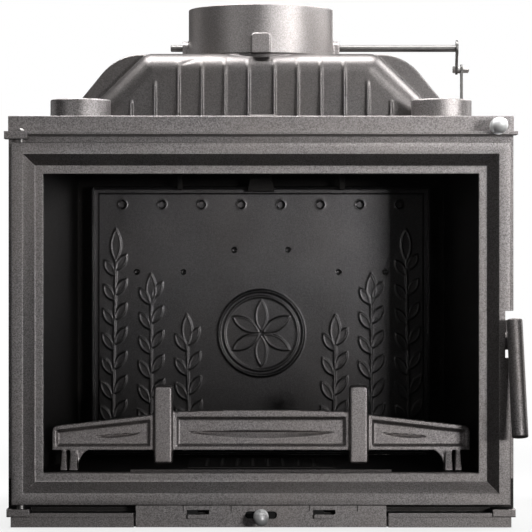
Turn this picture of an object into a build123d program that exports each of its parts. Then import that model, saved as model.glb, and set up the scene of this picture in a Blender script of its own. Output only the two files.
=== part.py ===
from build123d import *
import math
import os

os.makedirs("parts", exist_ok=True)

# A cast-iron fireplace insert. Sizes are in millimetres. +Z is up, and the front faces -Y.
# The origin lies on the ground, under the flue's axis. Depths are measured back from the
# door's front face, and behind() turns one into Y.

# ---- Driving dimensions: body ----
flue_setback = 215.0        # flue axis behind the door's face
body_width = 637.0          # front frame, ledge and top plate
frame_depth = 30.0          # front frame's face behind the door's face
frame_wall = 8.0
frame_clear = 2.8           # front frame's opening outside the door's window
wall = 8.0                  # side and rear walls
wall_inset_front = 22.5     # side walls inside the front frame's edges
wall_inset_rear = 54.5      # the same at the rear wall
wall_rib_rise = 11.0        # outer ribs of the walls
wall_rib = 6.0
wall_rib_pitch = 52.0
wall_rib_start = 0.7        # first rib, in pitches behind the front frame
wall_rib_end = 10.0         # ribs stop short of the wall's ends
rear_rib_count = 9
seam = 0.3                  # gap between pieces that move past each other
over = 1.0                  # a cutting form's reach past the face it cuts

# ---- Base ----
plinth_height = 13.0
plinth_front = 4.0          # depth of the plinth's face
plinth_inset = 5.0          # plinth narrower than the ledge on each side
ledge_wall = 5.0
ledge_front = 2.0
ledge_rear_reach = 12.0     # ledge and top plate past the rear wall
lug_width = 29.0            # hinge lugs at both front corners
lug_rise = 4.9
lug_run = 70.0
floor_top = 67.0            # firebox floor
floor_wall = 8.0
base_wall = 5.0             # bottom plate
base_side = 12.0            # side and rear walls of the air box under the floor
floor_lip_half = 165.0      # low ridge at the front of the floor
floor_lip_rise = 3.0
floor_lip_run = 6.0
inlet_half = 110.0          # air tunnel behind the air cover

# ---- Top plate ----
door_head = 9.0             # top plate's underside over the door
top_plate_wall = 5.0
lip_wall = 4.0              # front lip over the door
lip_side_reach = 3.0        # lip past the body on each side
skirt_height = 20.5
skirt_wall = 6.0
top_lug_drop = 5.5          # hinge lug under the lip

# ---- Door ----
door_margin = 6.1           # body past the door on each side
door_low = 28.0
door_height = 454.0
face_band = 14.5            # flat outer band of the door's face
bevel_run = 14.0            # 45 degree bevel down to the inner band
inner_band = 10.5
band_wall = 5.0
glass_wall = 4.0
gasket_wall = 1.5
glass_cover = 9.0           # inner band's cover over the glass edge
glass_play = 0.5
rope_inset = 13.0           # rope groove from the door's edge
rope_width = 8.0
groove_sink = 5.0
rope_round = 3.0
edge_round = 1.2
clip_length = 24.0
clip_width = 14.6
clip_wall = 2.0
clip_screw_inset = 25.2
clip_screw_radius = 2.0
clip_screw_sink = 8.0
clip_round = 2.0
clip_shares = (0.28, 0.72)  # clips' places along the uprights
rail_clip_share = 0.25      # clips' places along the rails, from the middle
clip_head_radius = 3.8
clip_head = 2.2

# ---- Hinge and latch ----
pin_radius = 2.5
pin_run = 25.0              # pin's length inside the door
pin_play = 0.06             # running clearance of a pin in its bore
pin_grip = 0.05             # a pin's clearance in the lug that holds it
pin_end_gap = 1.0
hinge_inset = 11.6          # hinge axis from the door's left edge
hinge_depth = 10.0
pin_head_radius = 3.8
pin_head = 3.5
pin_head_round = 2.4
washer_radius = 5.5
notch_width = 13.0          # latch notch in the frame's right edge
notch_drop = 24.0           # notch below and above the handle's pivot
notch_rise = 35.0
keeper_wall = 18.0          # catch block behind the frame, over the notch
keeper_height = 19.0
pivot_height = 236.0
pivot_depth = 8.0
pivot_radius = 4.0
pivot_boss_radius = 8.0
pivot_boss = 6.1            # boss that spaces the lever off the door
gusset_foot_half = 4.8      # gusset under the boss
gusset_drop = 13.6
pivot_sink = 9.6
pivot_head_radius = 7.0
pivot_head = 3.0
pivot_head_round = 1.0
lever_wall = 5.0
lever_hub_radius = 11.0
tail_half = 7.0
latch_swing = 20.0          # degrees from the rest position to the latched one
hook_reach = 49.0           # hook's face behind the pivot when latched
hook_top = 42.0             # hook's tip over the pivot when latched
hook_wall = 12.0
neck_front = -28.0          # lever's front end, inside the grip
neck_slant = 9.0
neck_rise = 20.0
neck_drop = 24.0
neck_window = [(-14.0, -4.0), (-30.0, -2.0), (-33.0, -14.0)]
grip_round = 1.5
grip_radius_top = 9.8
grip_radius_low = 10.3
grip_top_place = (2.6, -27.0, 25.0)     # across from the lever, depth, up from the pivot
grip_low_place = (6.7, -57.5, -120.0)

# ---- Air control ----
cover_half = 156.8
cover_gap = 2.7             # slit at each side of the air cover
cover_front = 1.0
cover_run = 13.0
cover_low = 0.5
cover_height = 27.0
cover_wall = 4.0
cover_guide = 1.2           # wall over and under the slider plate's channel
window_centre = 79.0
window_width = 28.0
window_low = 16.6
window_height = 5.4
rebate_offset = 30.0        # rebates in the top edge, from each window's middle
rebate_half = 12.0
rebate_sink = 2.2
rebate_height = 7.2
sill_inset = 1.6            # sills narrower than their windows, at each end
sill_height = 5.0
sill_reach = 5.0
slot_half = 20.0
slot_height = 9.4
slot_lift = 1.6             # slot's middle over the knob's axis
knob_height = 13.9
slider_half = 128.0
slider_wall = 2.0
slider_window_height = 4.4
slider_travel = 14.0
slider_stem_radius = 3.0
slider_ball_radius = 9.0
slider_ball_depth = -31.0
slider_ring_radius = 9.6
guide_width = 10.0
guide_centres = (45.0, 105.0)
stud_x = 149.0              # studs that hold the air cover
stud_height = 9.0
stud_radius = 2.5
stud_sink = 12.0
stud_boss_half = 4.0

# ---- Firebox ----
liner_wall = 7.0
liner_drop = 36.0           # liners' tops below the top plate
liner_front = 46.0
fireback_inset = 31.0       # fireback's edges inside the body's rear corners
fireback_depth = 330.0
fireback_wall = 10.0
fireback_drop = 17.0        # fireback's top below the liners' tops
fireback_rim = 4.0
fireback_round = 7.0
spacer_inset = 20.0         # upright spacers behind the fireback
spacer_width = 30.0
spacer_depth = 24.0
vent_edge = 42.95           # last vent inside the fireback's edge
vent_drop = 25.3            # vents below the fireback's top
vent_radius = 5.5
bolt_hole_radius = 3.5
bolt_holes = [(36.7, 87.7), (106.3, 117.9), (170.7, 117.9)]      # across, below the top
keeper_lug_x = 111.0
keeper_reach = 8.0
keeper_top_half = 14.2      # middle keeper, wider at its foot
keeper_foot_half = 18.7
side_keeper_half = 4.1
side_keeper_reach = 5.4
baffle_wall = 12.0
baffle_front = 150.0
baffle_gap = 1.0
grate_half = 95.0
grate_front = 108.0
grate_gap = 30.0            # grate's rear edge before the fireback
grate_wall = 7.0
grate_proud = 1.0           # grate's rise over the floor
grate_rest = 8.0            # ledge it rests on
grate_hole_radius = 4.5
grate_pitch = 20.0
pan_wall = 2.0
pan_height = 40.0
pan_margin = 8.0

# ---- Log guard ----
guard_depth = 71.0
guard_wall = 14.0
guard_inset = 29.5          # beam's ends inside the side walls' outer faces
guard_low = 92.5
guard_end_top = 123.0
guard_wing_top = 138.8      # top of a wing where it meets its post
guard_shoulder = 140.4
guard_crown = 143.6
post_centre = 124.8
post_width = 24.0
post_low = 75.2
post_top = 174.8
post_wall = 22.0
foot_inset = 10.5
foot_width = 23.0
foot_wall = 30.0
outer_prong = 9.0           # each foot has two prongs
inner_prong = 10.9
prong_gap = 2.4
prong_taper = 1.6
bracket_run = 14.0          # curved bracket between beam and foot
bracket_radius = 26.0
guard_round = 7.0
post_round = 5.0
post_foot_round = 3.0
post_chamfer = 2.0
post_flare = 5.0            # rounding where the beam meets a post
border = 4.5
border_top = 5.5
panel_sink = 3.0
panel_slant = 50.0          # degrees that the panels' edges lean

# ---- Hood, collar and stubs ----
hood_inset = 68.5           # hood's sides inside the body's edges
hood_side_height = 30.0     # vertical part of its sides
hood_height = 107.5
hood_slope = 63.0           # run of its side slopes
hood_round = 67.0
hood_wall = 8.0
hood_step = 145.0           # depth where the hood steps out to its full width
hood_rear_reach = 117.0     # hood's rear face behind the flue axis
nose_inset = 34.0           # narrower front part
nose_side_height = 43.0
nose_slope = 66.4
nose_round = 20.0
nose_front = 108.0
nose_edge_round = 28.0
neck_height = 13.5          # round neck under the collar
fin_wall = 3.2
fin_first = 16.6
fin_pitch = 30.2
fin_reach = 11.0
fin_foot = 22.0             # upright foot of a fin's front edge
fin_top_reach = 2.0         # tall fins' reach where the nose begins to round over
fin_crest = 67.0            # degrees over the rounding where the tall fins run out
fin_drops = (0, 0, 0, 0, 35.5, 61.5)    # short fins' tops below the hood's, 0 for a tall one
pocket_rise = 23.0          # lip between the two middle fins
pocket_wall = 3.0
collar_radius = 96.0
collar_wall = 5.25
collar_height = 63.5
socket_depth = 38.0         # how far a flue pipe goes in
pipe_stop = 2.75            # ledge under the pipe
boss_width = 24.6
boss_height = 25.5
boss_reach = 7.0
boss_round = 5.0
stub_radius = 38.5
stub_wall = 6.0
stub_round = 1.5
stub_inset = 88.5
stub_depth = 69.0
stub_height = 43.0
cap_wall = 4.0
cap_drop = 1.5

# ---- Damper and its control ----
shaft_rise = 13.5           # shaft over the hood's top
shaft_radius = 4.5
shaft_chamfer = 1.0
shaft_end = 24.0            # shaft past the collar on the left
ear_radius = 9.0
ear_reach = 8.0
damper_radius = 86.0
damper_wall = 4.0
damper_hub_radius = 7.5
damper_hub_inset = 12.0
crank_wall = 3.0
crank_arm = 29.5
crank_lean = 22.0           # degrees back from hanging straight down, at rest
crank_eye_radius = 6.5
crank_hub_radius = 11.0
crank_bolt_radius = 3.0
crank_head_radius = 5.0
crank_head = 3.5
crank_nut_radius = 4.8
crank_nut_height = 7.0
crank_bolt_end = 1.0
link_run = 31.0             # link's left face to the rod's axis
link_gap = 3.8              # between crank and link, filled by a washer face
link_wall = 3.0
link_eye_radius = 7.0
rod_radius = 3.0
rod_inset = 21.7            # rod inside the body's right edge
rod_rise = 6.1              # rod over the top plate
rod_bend = 12.0
control_ball_radius = 10.0
control_ball_depth = -26.0
control_ring_radius = 11.0
ring_wall = 2.0
ring_gap = 1.0              # stop ring's clearance at rest
slot_side = 1.5             # play beside the rod in the skirt
slot_rise = 11.8

# ---- Fasteners ----
tie_radius = 4.0
tie_front_inset = 9.5
tie_front_depth = 120.0
tie_rear_inset = 28.5
tie_rear_gap = 17.0
nut_radius = 6.5
nut_height = 6.5
tie_end = 3.0               # tie rod past its nut
bolt_head = 5.5
hood_lug = 20.0
hood_lug_wall = 8.0
hood_lug_reach = 40.0       # first lugs behind the flue axis
hood_lug_pitch = 47.0
hood_bolt_radius = 3.0

# ---- Derived sizes ----
half_body = body_width / 2
door_width = body_width - 2 * door_margin
wall_half_front = half_body - wall_inset_front
wall_half_rear = half_body - wall_inset_rear
rear_depth = fireback_depth + fireback_wall + spacer_depth + wall
ledge_top = plinth_height + ledge_wall
lug_top = ledge_top + lug_rise
door_top = door_low + door_height
top_plate_low = door_top + door_head
top_plate_top = top_plate_low + top_plate_wall
frame_back = frame_depth + frame_wall
rear_reach = rear_depth + ledge_rear_reach
half_door = door_width / 2
door_thickness = bevel_run + band_wall + gasket_wall + glass_wall
window_inset = face_band + bevel_run + inner_band
glass_inset = window_inset - glass_cover
recess_inset = glass_inset - glass_play
hinge_x = hinge_inset - half_door
notch_x = half_body - notch_width
notch_low = pivot_height - notch_drop
notch_high = pivot_height + notch_rise
lever_x = notch_x + pivot_boss + seam
grip_top = (lever_x + grip_top_place[0], grip_top_place[1], pivot_height + grip_top_place[2])
grip_low = (lever_x + grip_low_place[0], grip_low_place[1], pivot_height + grip_low_place[2])
pin_seat = pin_radius + pin_grip
slope = (wall_half_front - wall_half_rear) / (rear_depth - frame_back)
liner_top = top_plate_low - liner_drop
fireback_half = wall_half_rear - fireback_inset
fireback_top = liner_top - fireback_drop
vent_height = fireback_top - vent_drop
vent_pitch = (fireback_half - vent_edge) / 3.5
grate_rear = fireback_depth - grate_gap
guard_half = wall_half_front - guard_inset
foot_outer = guard_half - foot_inset
foot_inner = foot_outer - foot_width
hood_half = half_body - hood_inset
hood_spring = top_plate_top + hood_side_height
hood_top = top_plate_top + hood_height
hood_shoulder = hood_half - hood_slope
hood_rear = flue_setback + hood_rear_reach
hood_lug_depths = (flue_setback + hood_lug_reach, flue_setback + hood_lug_reach + hood_lug_pitch)
nose_half = hood_half - nose_inset
nose_spring = top_plate_top + nose_side_height
nose_shoulder = nose_half - nose_slope
neck_low = hood_top - neck_height
pocket_low = top_plate_top + pocket_rise
stub_x = half_body - stub_inset
shaft_height = hood_top + shaft_rise
shaft_left = -collar_radius - shaft_end
rod_x = half_body - rod_inset
rod_height = top_plate_top + rod_rise
link_x = rod_x - link_run
shaft_right = link_x - link_gap
slot_top = top_plate_top + slot_rise
tie_rear_depth = rear_depth - tie_rear_gap
tie_spots = [(half_body - tie_front_inset, tie_front_depth), (half_body - tie_rear_inset, tie_rear_depth)]


def behind(depth):
    """Y of a depth behind the door's front face."""
    return depth - flue_setback


def facing(depth):
    """Upright plane at a depth behind the door's face: x to the right, y up."""
    return Plane.XZ.offset(flue_setback - depth)


def body_half(depth):
    """Outer half-width of the firebox body at a depth."""
    return wall_half_front - slope * (depth - frame_back)


def block(x, depth, z, mode=Mode.ADD):
    """Box between two values across, two depths and two heights."""
    with Locations((sum(x) / 2, behind(sum(depth) / 2), sum(z) / 2)):
        Box(x[1] - x[0], depth[1] - depth[0], z[1] - z[0], mode=mode)


def span(x, y, mode=Mode.ADD):
    """Rectangle of the active sketch between two values of x and two of y."""
    with Locations((sum(x) / 2, sum(y) / 2)):
        Rectangle(x[1] - x[0], y[1] - y[0], mode=mode)


def tapered_plan(front, rear, inset):
    """Plan outline of the firebox body between two depths, drawn in by inset."""
    near = body_half(front) - inset
    far = body_half(rear) - inset
    Polygon(
        (-near, behind(front)),
        (near, behind(front)),
        (far, behind(rear)),
        (-far, behind(rear)),
        align=None,
    )


def door_outline(inset):
    """Rectangle drawn in from the door's outer edge, on an upright plane."""
    with Locations((0, door_low + door_height / 2)):
        Rectangle(door_width - 2 * inset, door_height - 2 * inset)


def door_ring(outer, inner):
    """Rectangular ring between two insets from the door's outer edge."""
    door_outline(outer)
    with Locations((0, door_low + door_height / 2)):
        Rectangle(door_width - 2 * inner, door_height - 2 * inner, mode=Mode.SUBTRACT)


tie_places = [(side * x, behind(depth)) for x, depth in tie_spots for side in (-1, 1)]
stud_places = [(side * stud_x, stud_height) for side in (-1, 1)]


def finish(piece, name):
    """Label a finished piece and write it."""
    piece.part.label = name
    export_step(piece.part, "parts/" + name + ".step")


# ---- Base casting: plinth, ledge, hollow air box and firebox floor ----
with BuildPart() as base_casting:
    block((-half_body + plinth_inset, half_body - plinth_inset), (plinth_front, rear_reach), (0, plinth_height))
    block((-half_body, half_body), (ledge_front, rear_reach), (plinth_height, ledge_top))
    for side in (-1, 1):
        lug = sorted((side * half_body, side * (half_body - lug_width)))
        block(lug, (0, lug_run), (plinth_height, lug_top))
    block((-half_body + lug_width, half_body - lug_width), (frame_depth, frame_back), (ledge_top, lug_top))
    with BuildSketch(Plane.XY.offset(ledge_top)):
        tapered_plan(frame_back, rear_depth, 0)
    extrude(amount=floor_top - floor_wall - ledge_top)
    with BuildSketch(Plane.XY.offset(floor_top - floor_wall)):
        tapered_plan(frame_back, rear_depth - wall, wall)
    extrude(amount=floor_wall)
    block((-floor_lip_half, floor_lip_half), (frame_back, frame_back + floor_lip_run), (floor_top, floor_top + floor_lip_rise))
    with BuildSketch(Plane.XY.offset(base_wall)):
        tapered_plan(frame_back + wall, rear_depth - base_side, base_side)
    extrude(amount=floor_top - floor_wall - base_wall, mode=Mode.SUBTRACT)
    block((-inlet_half, inlet_half), (ledge_front, frame_back + wall), (base_wall, plinth_height), Mode.SUBTRACT)
    recess = cover_half + cover_gap
    block((-recess, recess), (-over, cover_front + cover_run), (-over, lug_top + over), Mode.SUBTRACT)
    grate_seat = grate_wall - grate_proud
    block((-grate_half - seam, grate_half + seam), (grate_front - seam, grate_rear + seam), (floor_top - grate_seat, floor_top + over), Mode.SUBTRACT)
    grate_hole = (grate_front + grate_rest, grate_rear - grate_rest)
    block((-grate_half + grate_rest, grate_half - grate_rest), grate_hole, (base_wall, floor_top), Mode.SUBTRACT)
    with Locations((hinge_x, behind(hinge_depth), lug_top)):
        Hole(radius=pin_seat, depth=lug_rise + ledge_wall)
    with Locations(*[(x, y, ledge_top) for x, y in tie_places]):
        Hole(radius=tie_radius, depth=ledge_wall)
    with BuildSketch(facing(cover_front + cover_run)):
        with Locations(*stud_places):
            Circle(stud_radius)
    extrude(amount=-stud_sink, mode=Mode.SUBTRACT)
    front_edges = base_casting.edges().group_by(Axis.Y)[0]
    fillet(front_edges, radius=edge_round)
finish(base_casting, "base_casting")

# ---- Walls: tapered side castings and the rear casting, with ribs outside ----
wall_low = floor_top - floor_wall


def side_wall(side):
    """Side wall on one side: 1 is right, -1 is left."""
    with BuildPart() as casting:
        with BuildSketch(Plane.XY.offset(wall_low)):
            with BuildLine():
                Polyline(
                    (side * wall_half_front, behind(frame_back)),
                    (side * wall_half_rear, behind(rear_depth)),
                    (side * (wall_half_rear - wall), behind(rear_depth)),
                    (side * (wall_half_front - wall), behind(frame_back)),
                    close=True,
                )
            make_face()
        extrude(amount=top_plate_low - wall_low)
        count = int((rear_depth - frame_back) / wall_rib_pitch)
        for step in range(count):
            depth = frame_back + wall_rib_pitch * (step + wall_rib_start)
            x = sorted((side * (body_half(depth) - wall / 2), side * (body_half(depth) + wall_rib_rise)))
            block(x, (depth - wall_rib / 2, depth + wall_rib / 2), (wall_low + wall_rib_end, top_plate_low - wall_rib_end))
    return casting


left_wall = side_wall(-1)
finish(left_wall, "left_wall")
right_wall = side_wall(1)
finish(right_wall, "right_wall")

with BuildPart() as rear_wall:
    with BuildSketch(Plane.XY.offset(wall_low)):
        tapered_plan(rear_depth - wall, rear_depth, wall)
    extrude(amount=top_plate_low - wall_low)
    for step in range(rear_rib_count):
        x = (step - (rear_rib_count - 1) / 2) * wall_rib_pitch
        block((x - wall_rib / 2, x + wall_rib / 2), (rear_depth - wall / 2, rear_depth + wall_rib_rise), (wall_low + wall_rib_end, top_plate_low - wall_rib_end))
finish(rear_wall, "rear_wall")

# ---- Front frame behind the door ----
opening_half = half_door - window_inset + frame_clear
opening_top = door_top - window_inset + frame_clear
with BuildPart() as front_frame:
    with BuildSketch(facing(frame_back)):
        span((-half_body, half_body), (lug_top, top_plate_low))
        span((-opening_half, opening_half), (floor_top, opening_top), Mode.SUBTRACT)
        span((notch_x, half_body + over), (notch_low, notch_high), Mode.SUBTRACT)
    extrude(amount=frame_wall)
    block((notch_x, half_body), (frame_back, frame_back + keeper_wall), (notch_high, notch_high + keeper_height))
finish(front_frame, "front_frame")

# ---- Top plate with its lip, hinge lug and skirt ----
throat_half = hood_half - 2 * hood_wall
throat_front = nose_front + 2 * hood_wall
throat_rear = hood_rear - 2 * hood_wall
hood_bolt_x = hood_half + hood_lug / 2
hood_bolt_places = [(side * hood_bolt_x, behind(depth)) for side in (-1, 1) for depth in hood_lug_depths]
with BuildPart() as top_plate:
    block((-half_body, half_body), (frame_depth, rear_reach), (top_plate_low, top_plate_top))
    lip_half = half_body + lip_side_reach
    block((-lip_half, lip_half), (0, frame_depth), (top_plate_top - lip_wall, top_plate_top))
    skirt_front = frame_depth - skirt_wall
    block((-half_body, half_body), (skirt_front, frame_depth), (top_plate_top, top_plate_top + skirt_height))
    block((-lip_half, -half_body + lug_width - lip_side_reach), (0, 2 * hinge_depth), (top_plate_top - lip_wall - top_lug_drop, top_plate_top - lip_wall))
    with BuildSketch(Plane.XY.offset(top_plate_low)):
        span((-throat_half, throat_half), (behind(hood_step), behind(throat_rear)))
        nose_throat = nose_half - 2 * hood_wall
        span((-nose_throat, nose_throat), (behind(throat_front), behind(hood_step)))
    extrude(amount=top_plate_wall, mode=Mode.SUBTRACT)
    slot_x = rod_radius + slot_side
    block((rod_x - slot_x, rod_x + slot_x), (skirt_front - over, frame_depth), (top_plate_top, slot_top), Mode.SUBTRACT)
    with Locations((hinge_x, behind(hinge_depth), top_plate_top)):
        Hole(radius=pin_seat, depth=lip_wall + top_lug_drop)
    with Locations(*[(x, y, top_plate_top) for x, y in tie_places]):
        Hole(radius=tie_radius, depth=top_plate_wall)
    with Locations(*[(x, y, top_plate_top) for x, y in hood_bolt_places]):
        Hole(radius=hood_bolt_radius, depth=top_plate_wall)
    fillet(top_plate.edges().group_by(Axis.Z)[-1].filter_by(Axis.X), radius=edge_round)
finish(top_plate, "top_plate")

# ---- Tie rods from the ledge up through the top plate, with their nuts ----
with BuildPart() as tie_rods:
    with BuildSketch(Plane.XY.offset(plinth_height)):
        with Locations(*tie_places):
            Circle(tie_radius)
    extrude(amount=top_plate_top + nut_height + tie_end - plinth_height)
finish(tie_rods, "tie_rods")

with BuildPart() as tie_nuts:
    with BuildSketch(Plane.XY.offset(top_plate_top)):
        with Locations(*tie_places):
            RegularPolygon(nut_radius, 6)
            Circle(tie_radius, mode=Mode.SUBTRACT)
    extrude(amount=nut_height)
finish(tie_nuts, "tie_nuts")

# ---- Door frame ----
clip_heights = [door_low + door_height * share for share in clip_shares]
clip_across = door_width * rail_clip_share


def clip_spots(inset):
    """Places at one inset from the door's edge: two per upright, then two per rail."""
    uprights = [(side * (half_door - inset), z) for side in (-1, 1) for z in clip_heights]
    rails = [(side * clip_across, z) for side in (-1, 1) for z in (door_low + inset, door_top - inset)]
    return uprights, rails


clip_inset = rope_inset + rope_width + seam + clip_width / 2
screw_places = sum(clip_spots(clip_screw_inset), [])
with BuildPart() as door_frame:
    with BuildSketch(facing(door_thickness)):
        door_outline(0)
    extrude(amount=door_thickness)
    with BuildSketch(facing(0)):
        door_outline(face_band)
    with BuildSketch(facing(bevel_run)):
        door_outline(face_band + bevel_run)
    loft(mode=Mode.SUBTRACT)
    with BuildSketch(facing(door_thickness)):
        door_outline(window_inset)
    extrude(amount=door_thickness, mode=Mode.SUBTRACT)
    with BuildSketch(facing(door_thickness)):
        door_outline(recess_inset)
    extrude(amount=gasket_wall + glass_wall, mode=Mode.SUBTRACT)
    fillet(door_frame.edges().group_by(Axis.Y)[0], radius=edge_round)
    with BuildSketch(facing(door_thickness)):
        door_ring(rope_inset, rope_inset + rope_width)
    extrude(amount=groove_sink, mode=Mode.SUBTRACT)
    block((notch_x, half_door + over), (-over, door_thickness + over), (notch_low, notch_high), Mode.SUBTRACT)
    pivot_plane = Plane.YZ.offset(notch_x)
    pivot = (behind(pivot_depth), pivot_height)
    with BuildSketch(pivot_plane):
        with Locations(pivot):
            Circle(pivot_boss_radius)
        with BuildLine():
            Polyline(
                (pivot[0] - pivot_boss_radius, pivot[1]),
                (pivot[0] + pivot_boss_radius, pivot[1]),
                (pivot[0] + gusset_foot_half, pivot[1] - gusset_drop),
                (pivot[0] - gusset_foot_half, pivot[1] - gusset_drop),
                close=True,
            )
        make_face()
    extrude(amount=pivot_boss)
    with BuildSketch(Plane.YZ.offset(notch_x + pivot_boss)):
        with Locations(pivot):
            Circle(pivot_radius)
    extrude(amount=-(pivot_boss + pivot_sink), mode=Mode.SUBTRACT)
    for z, run in ((door_low, pin_run), (door_top, -pin_run)):
        with BuildSketch(Plane.XY.offset(z)):
            with Locations((hinge_x, behind(hinge_depth))):
                Circle(pin_radius + pin_play)
        extrude(amount=run, mode=Mode.SUBTRACT)
    with BuildSketch(facing(door_thickness)):
        with Locations(*screw_places):
            Circle(clip_screw_radius)
    extrude(amount=clip_screw_sink, mode=Mode.SUBTRACT)
finish(door_frame, "door_frame")

# ---- Glass, its gasket, clips and screws ----
band_back = bevel_run + band_wall
with BuildPart() as glass_gasket:
    with BuildSketch(facing(band_back + gasket_wall)):
        door_ring(glass_inset, window_inset - glass_play)
    extrude(amount=gasket_wall)
finish(glass_gasket, "glass_gasket")

with BuildPart() as door_glass:
    with BuildSketch(facing(door_thickness)):
        door_outline(glass_inset)
    extrude(amount=glass_wall)
finish(door_glass, "door_glass")

with BuildPart() as glass_clips:
    upright_clips, rail_clips = clip_spots(clip_inset)
    with BuildSketch(facing(door_thickness + clip_wall)):
        with Locations(*upright_clips):
            RectangleRounded(clip_width, clip_length, clip_round)
        with Locations(*rail_clips):
            RectangleRounded(clip_length, clip_width, clip_round)
        with Locations(*screw_places):
            Circle(clip_screw_radius, mode=Mode.SUBTRACT)
    extrude(amount=clip_wall)
finish(glass_clips, "glass_clips")

with BuildPart() as clip_screws:
    with BuildSketch(facing(door_thickness + clip_wall)):
        with Locations(*screw_places):
            Circle(clip_screw_radius)
    extrude(amount=clip_wall + clip_screw_sink)
    with BuildSketch(facing(door_thickness + clip_wall)):
        with Locations(*screw_places):
            Circle(clip_head_radius)
    extrude(amount=-clip_head)
finish(clip_screws, "clip_screws")

# ---- Rope seal in the door's groove ----
with BuildPart() as door_rope_seal:
    groove_floor = door_thickness - groove_sink
    rope_rise = frame_depth - seam - groove_floor
    with BuildSketch(facing(groove_floor)):
        door_ring(rope_inset + seam, rope_inset + rope_width - seam)
    extrude(amount=-rope_rise)
    fillet(door_rope_seal.edges().group_by(Axis.Y)[-1], radius=rope_round)
finish(door_rope_seal, "door_rope_seal")

# ---- Hinge pins, fixed in the lugs, and the washer the door rests on ----
with BuildPart() as top_hinge_pin:
    with BuildSketch(Plane.XY.offset(door_top - pin_run + pin_end_gap)):
        with Locations((hinge_x, behind(hinge_depth))):
            Circle(pin_radius)
    extrude(amount=top_plate_top - door_top + pin_run - pin_end_gap)
    with BuildSketch(Plane.XY.offset(top_plate_top)):
        with Locations((hinge_x, behind(hinge_depth))):
            Circle(pin_head_radius)
    extrude(amount=pin_head)
    fillet(top_hinge_pin.edges().group_by(Axis.Z)[-1], radius=pin_head_round)
finish(top_hinge_pin, "top_hinge_pin")

with BuildPart() as bottom_hinge_pin:
    with BuildSketch(Plane.XY.offset(plinth_height)):
        with Locations((hinge_x, behind(hinge_depth))):
            Circle(pin_radius)
    extrude(amount=door_low - plinth_height + pin_run - pin_end_gap)
finish(bottom_hinge_pin, "bottom_hinge_pin")

with BuildPart() as hinge_washer:
    with BuildSketch(Plane.XY.offset(lug_top)):
        with Locations((hinge_x, behind(hinge_depth))):
            Circle(washer_radius)
            Circle(pin_seat, mode=Mode.SUBTRACT)
    extrude(amount=door_low - seam - lug_top)
finish(hinge_washer, "hinge_washer")

# ---- Door handle: grip, lever plate with the latch hook, and pivot screw ----
grip_start = Vector(grip_top[0], behind(grip_top[1]), grip_top[2])
grip_end = Vector(grip_low[0], behind(grip_low[1]), grip_low[2])
grip_run = grip_end - grip_start
with BuildPart() as handle_grip:
    with BuildSketch(Plane(origin=grip_start, x_dir=(1, 0, 0), z_dir=grip_run)):
        Circle(grip_radius_top)
    with BuildSketch(Plane(origin=grip_end, x_dir=(1, 0, 0), z_dir=grip_run)):
        Circle(grip_radius_low)
    loft()
    fillet(handle_grip.edges().filter_by(GeomType.CIRCLE), radius=grip_round)
finish(handle_grip, "handle_grip")


def turned(reach, rise):
    """A point of the latched hook, turned back to the rest position: (Y, Z)."""
    angle = math.radians(latch_swing)
    y = reach * math.cos(angle) + rise * math.sin(angle)
    z = rise * math.cos(angle) - reach * math.sin(angle)
    return (pivot[0] + y, pivot[1] + z)


hook_foot = turned(hook_reach, hook_top / 2)
hook_tip = turned(hook_reach, hook_top)
hook_back = turned(hook_reach + hook_wall, hook_top)
tail_end = hook_back[0]
with BuildPart() as handle_lever:
    with BuildSketch(Plane.YZ.offset(lever_x)):
        with Locations(pivot):
            Circle(lever_hub_radius)
        span((pivot[0], tail_end), (pivot[1] - tail_half, pivot[1] + tail_half))
        with BuildLine():
            Polyline(hook_foot, hook_tip, hook_back, (tail_end, pivot[1]), close=True)
        make_face()
        with BuildLine():
            Polyline(
                (pivot[0], pivot[1] + lever_hub_radius),
                (behind(neck_front), pivot[1] + neck_rise),
                (behind(neck_front - neck_slant), pivot[1] - neck_drop),
                (pivot[0], pivot[1] - lever_hub_radius),
                close=True,
            )
        make_face()
        with BuildLine():
            Polyline(*[(pivot[0] + y, pivot[1] + z) for y, z in neck_window], close=True)
        make_face(mode=Mode.SUBTRACT)
        with Locations(pivot):
            Circle(pivot_radius + pin_play, mode=Mode.SUBTRACT)
    extrude(amount=lever_wall)
    add(handle_grip.part, mode=Mode.SUBTRACT)
finish(handle_lever, "handle_lever")

with BuildPart() as handle_pivot:
    with BuildSketch(Plane.YZ.offset(notch_x - pivot_sink)):
        with Locations(pivot):
            Circle(pivot_radius)
    extrude(amount=pivot_sink + pivot_boss + lever_wall + 2 * seam)
    with BuildSketch(Plane.YZ.offset(lever_x + lever_wall + seam)):
        with Locations(pivot):
            Circle(pivot_head_radius)
    extrude(amount=pivot_head)
    fillet(handle_pivot.edges().group_by(Axis.X)[-1], radius=pivot_head_round)
finish(handle_pivot, "handle_pivot")

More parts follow.
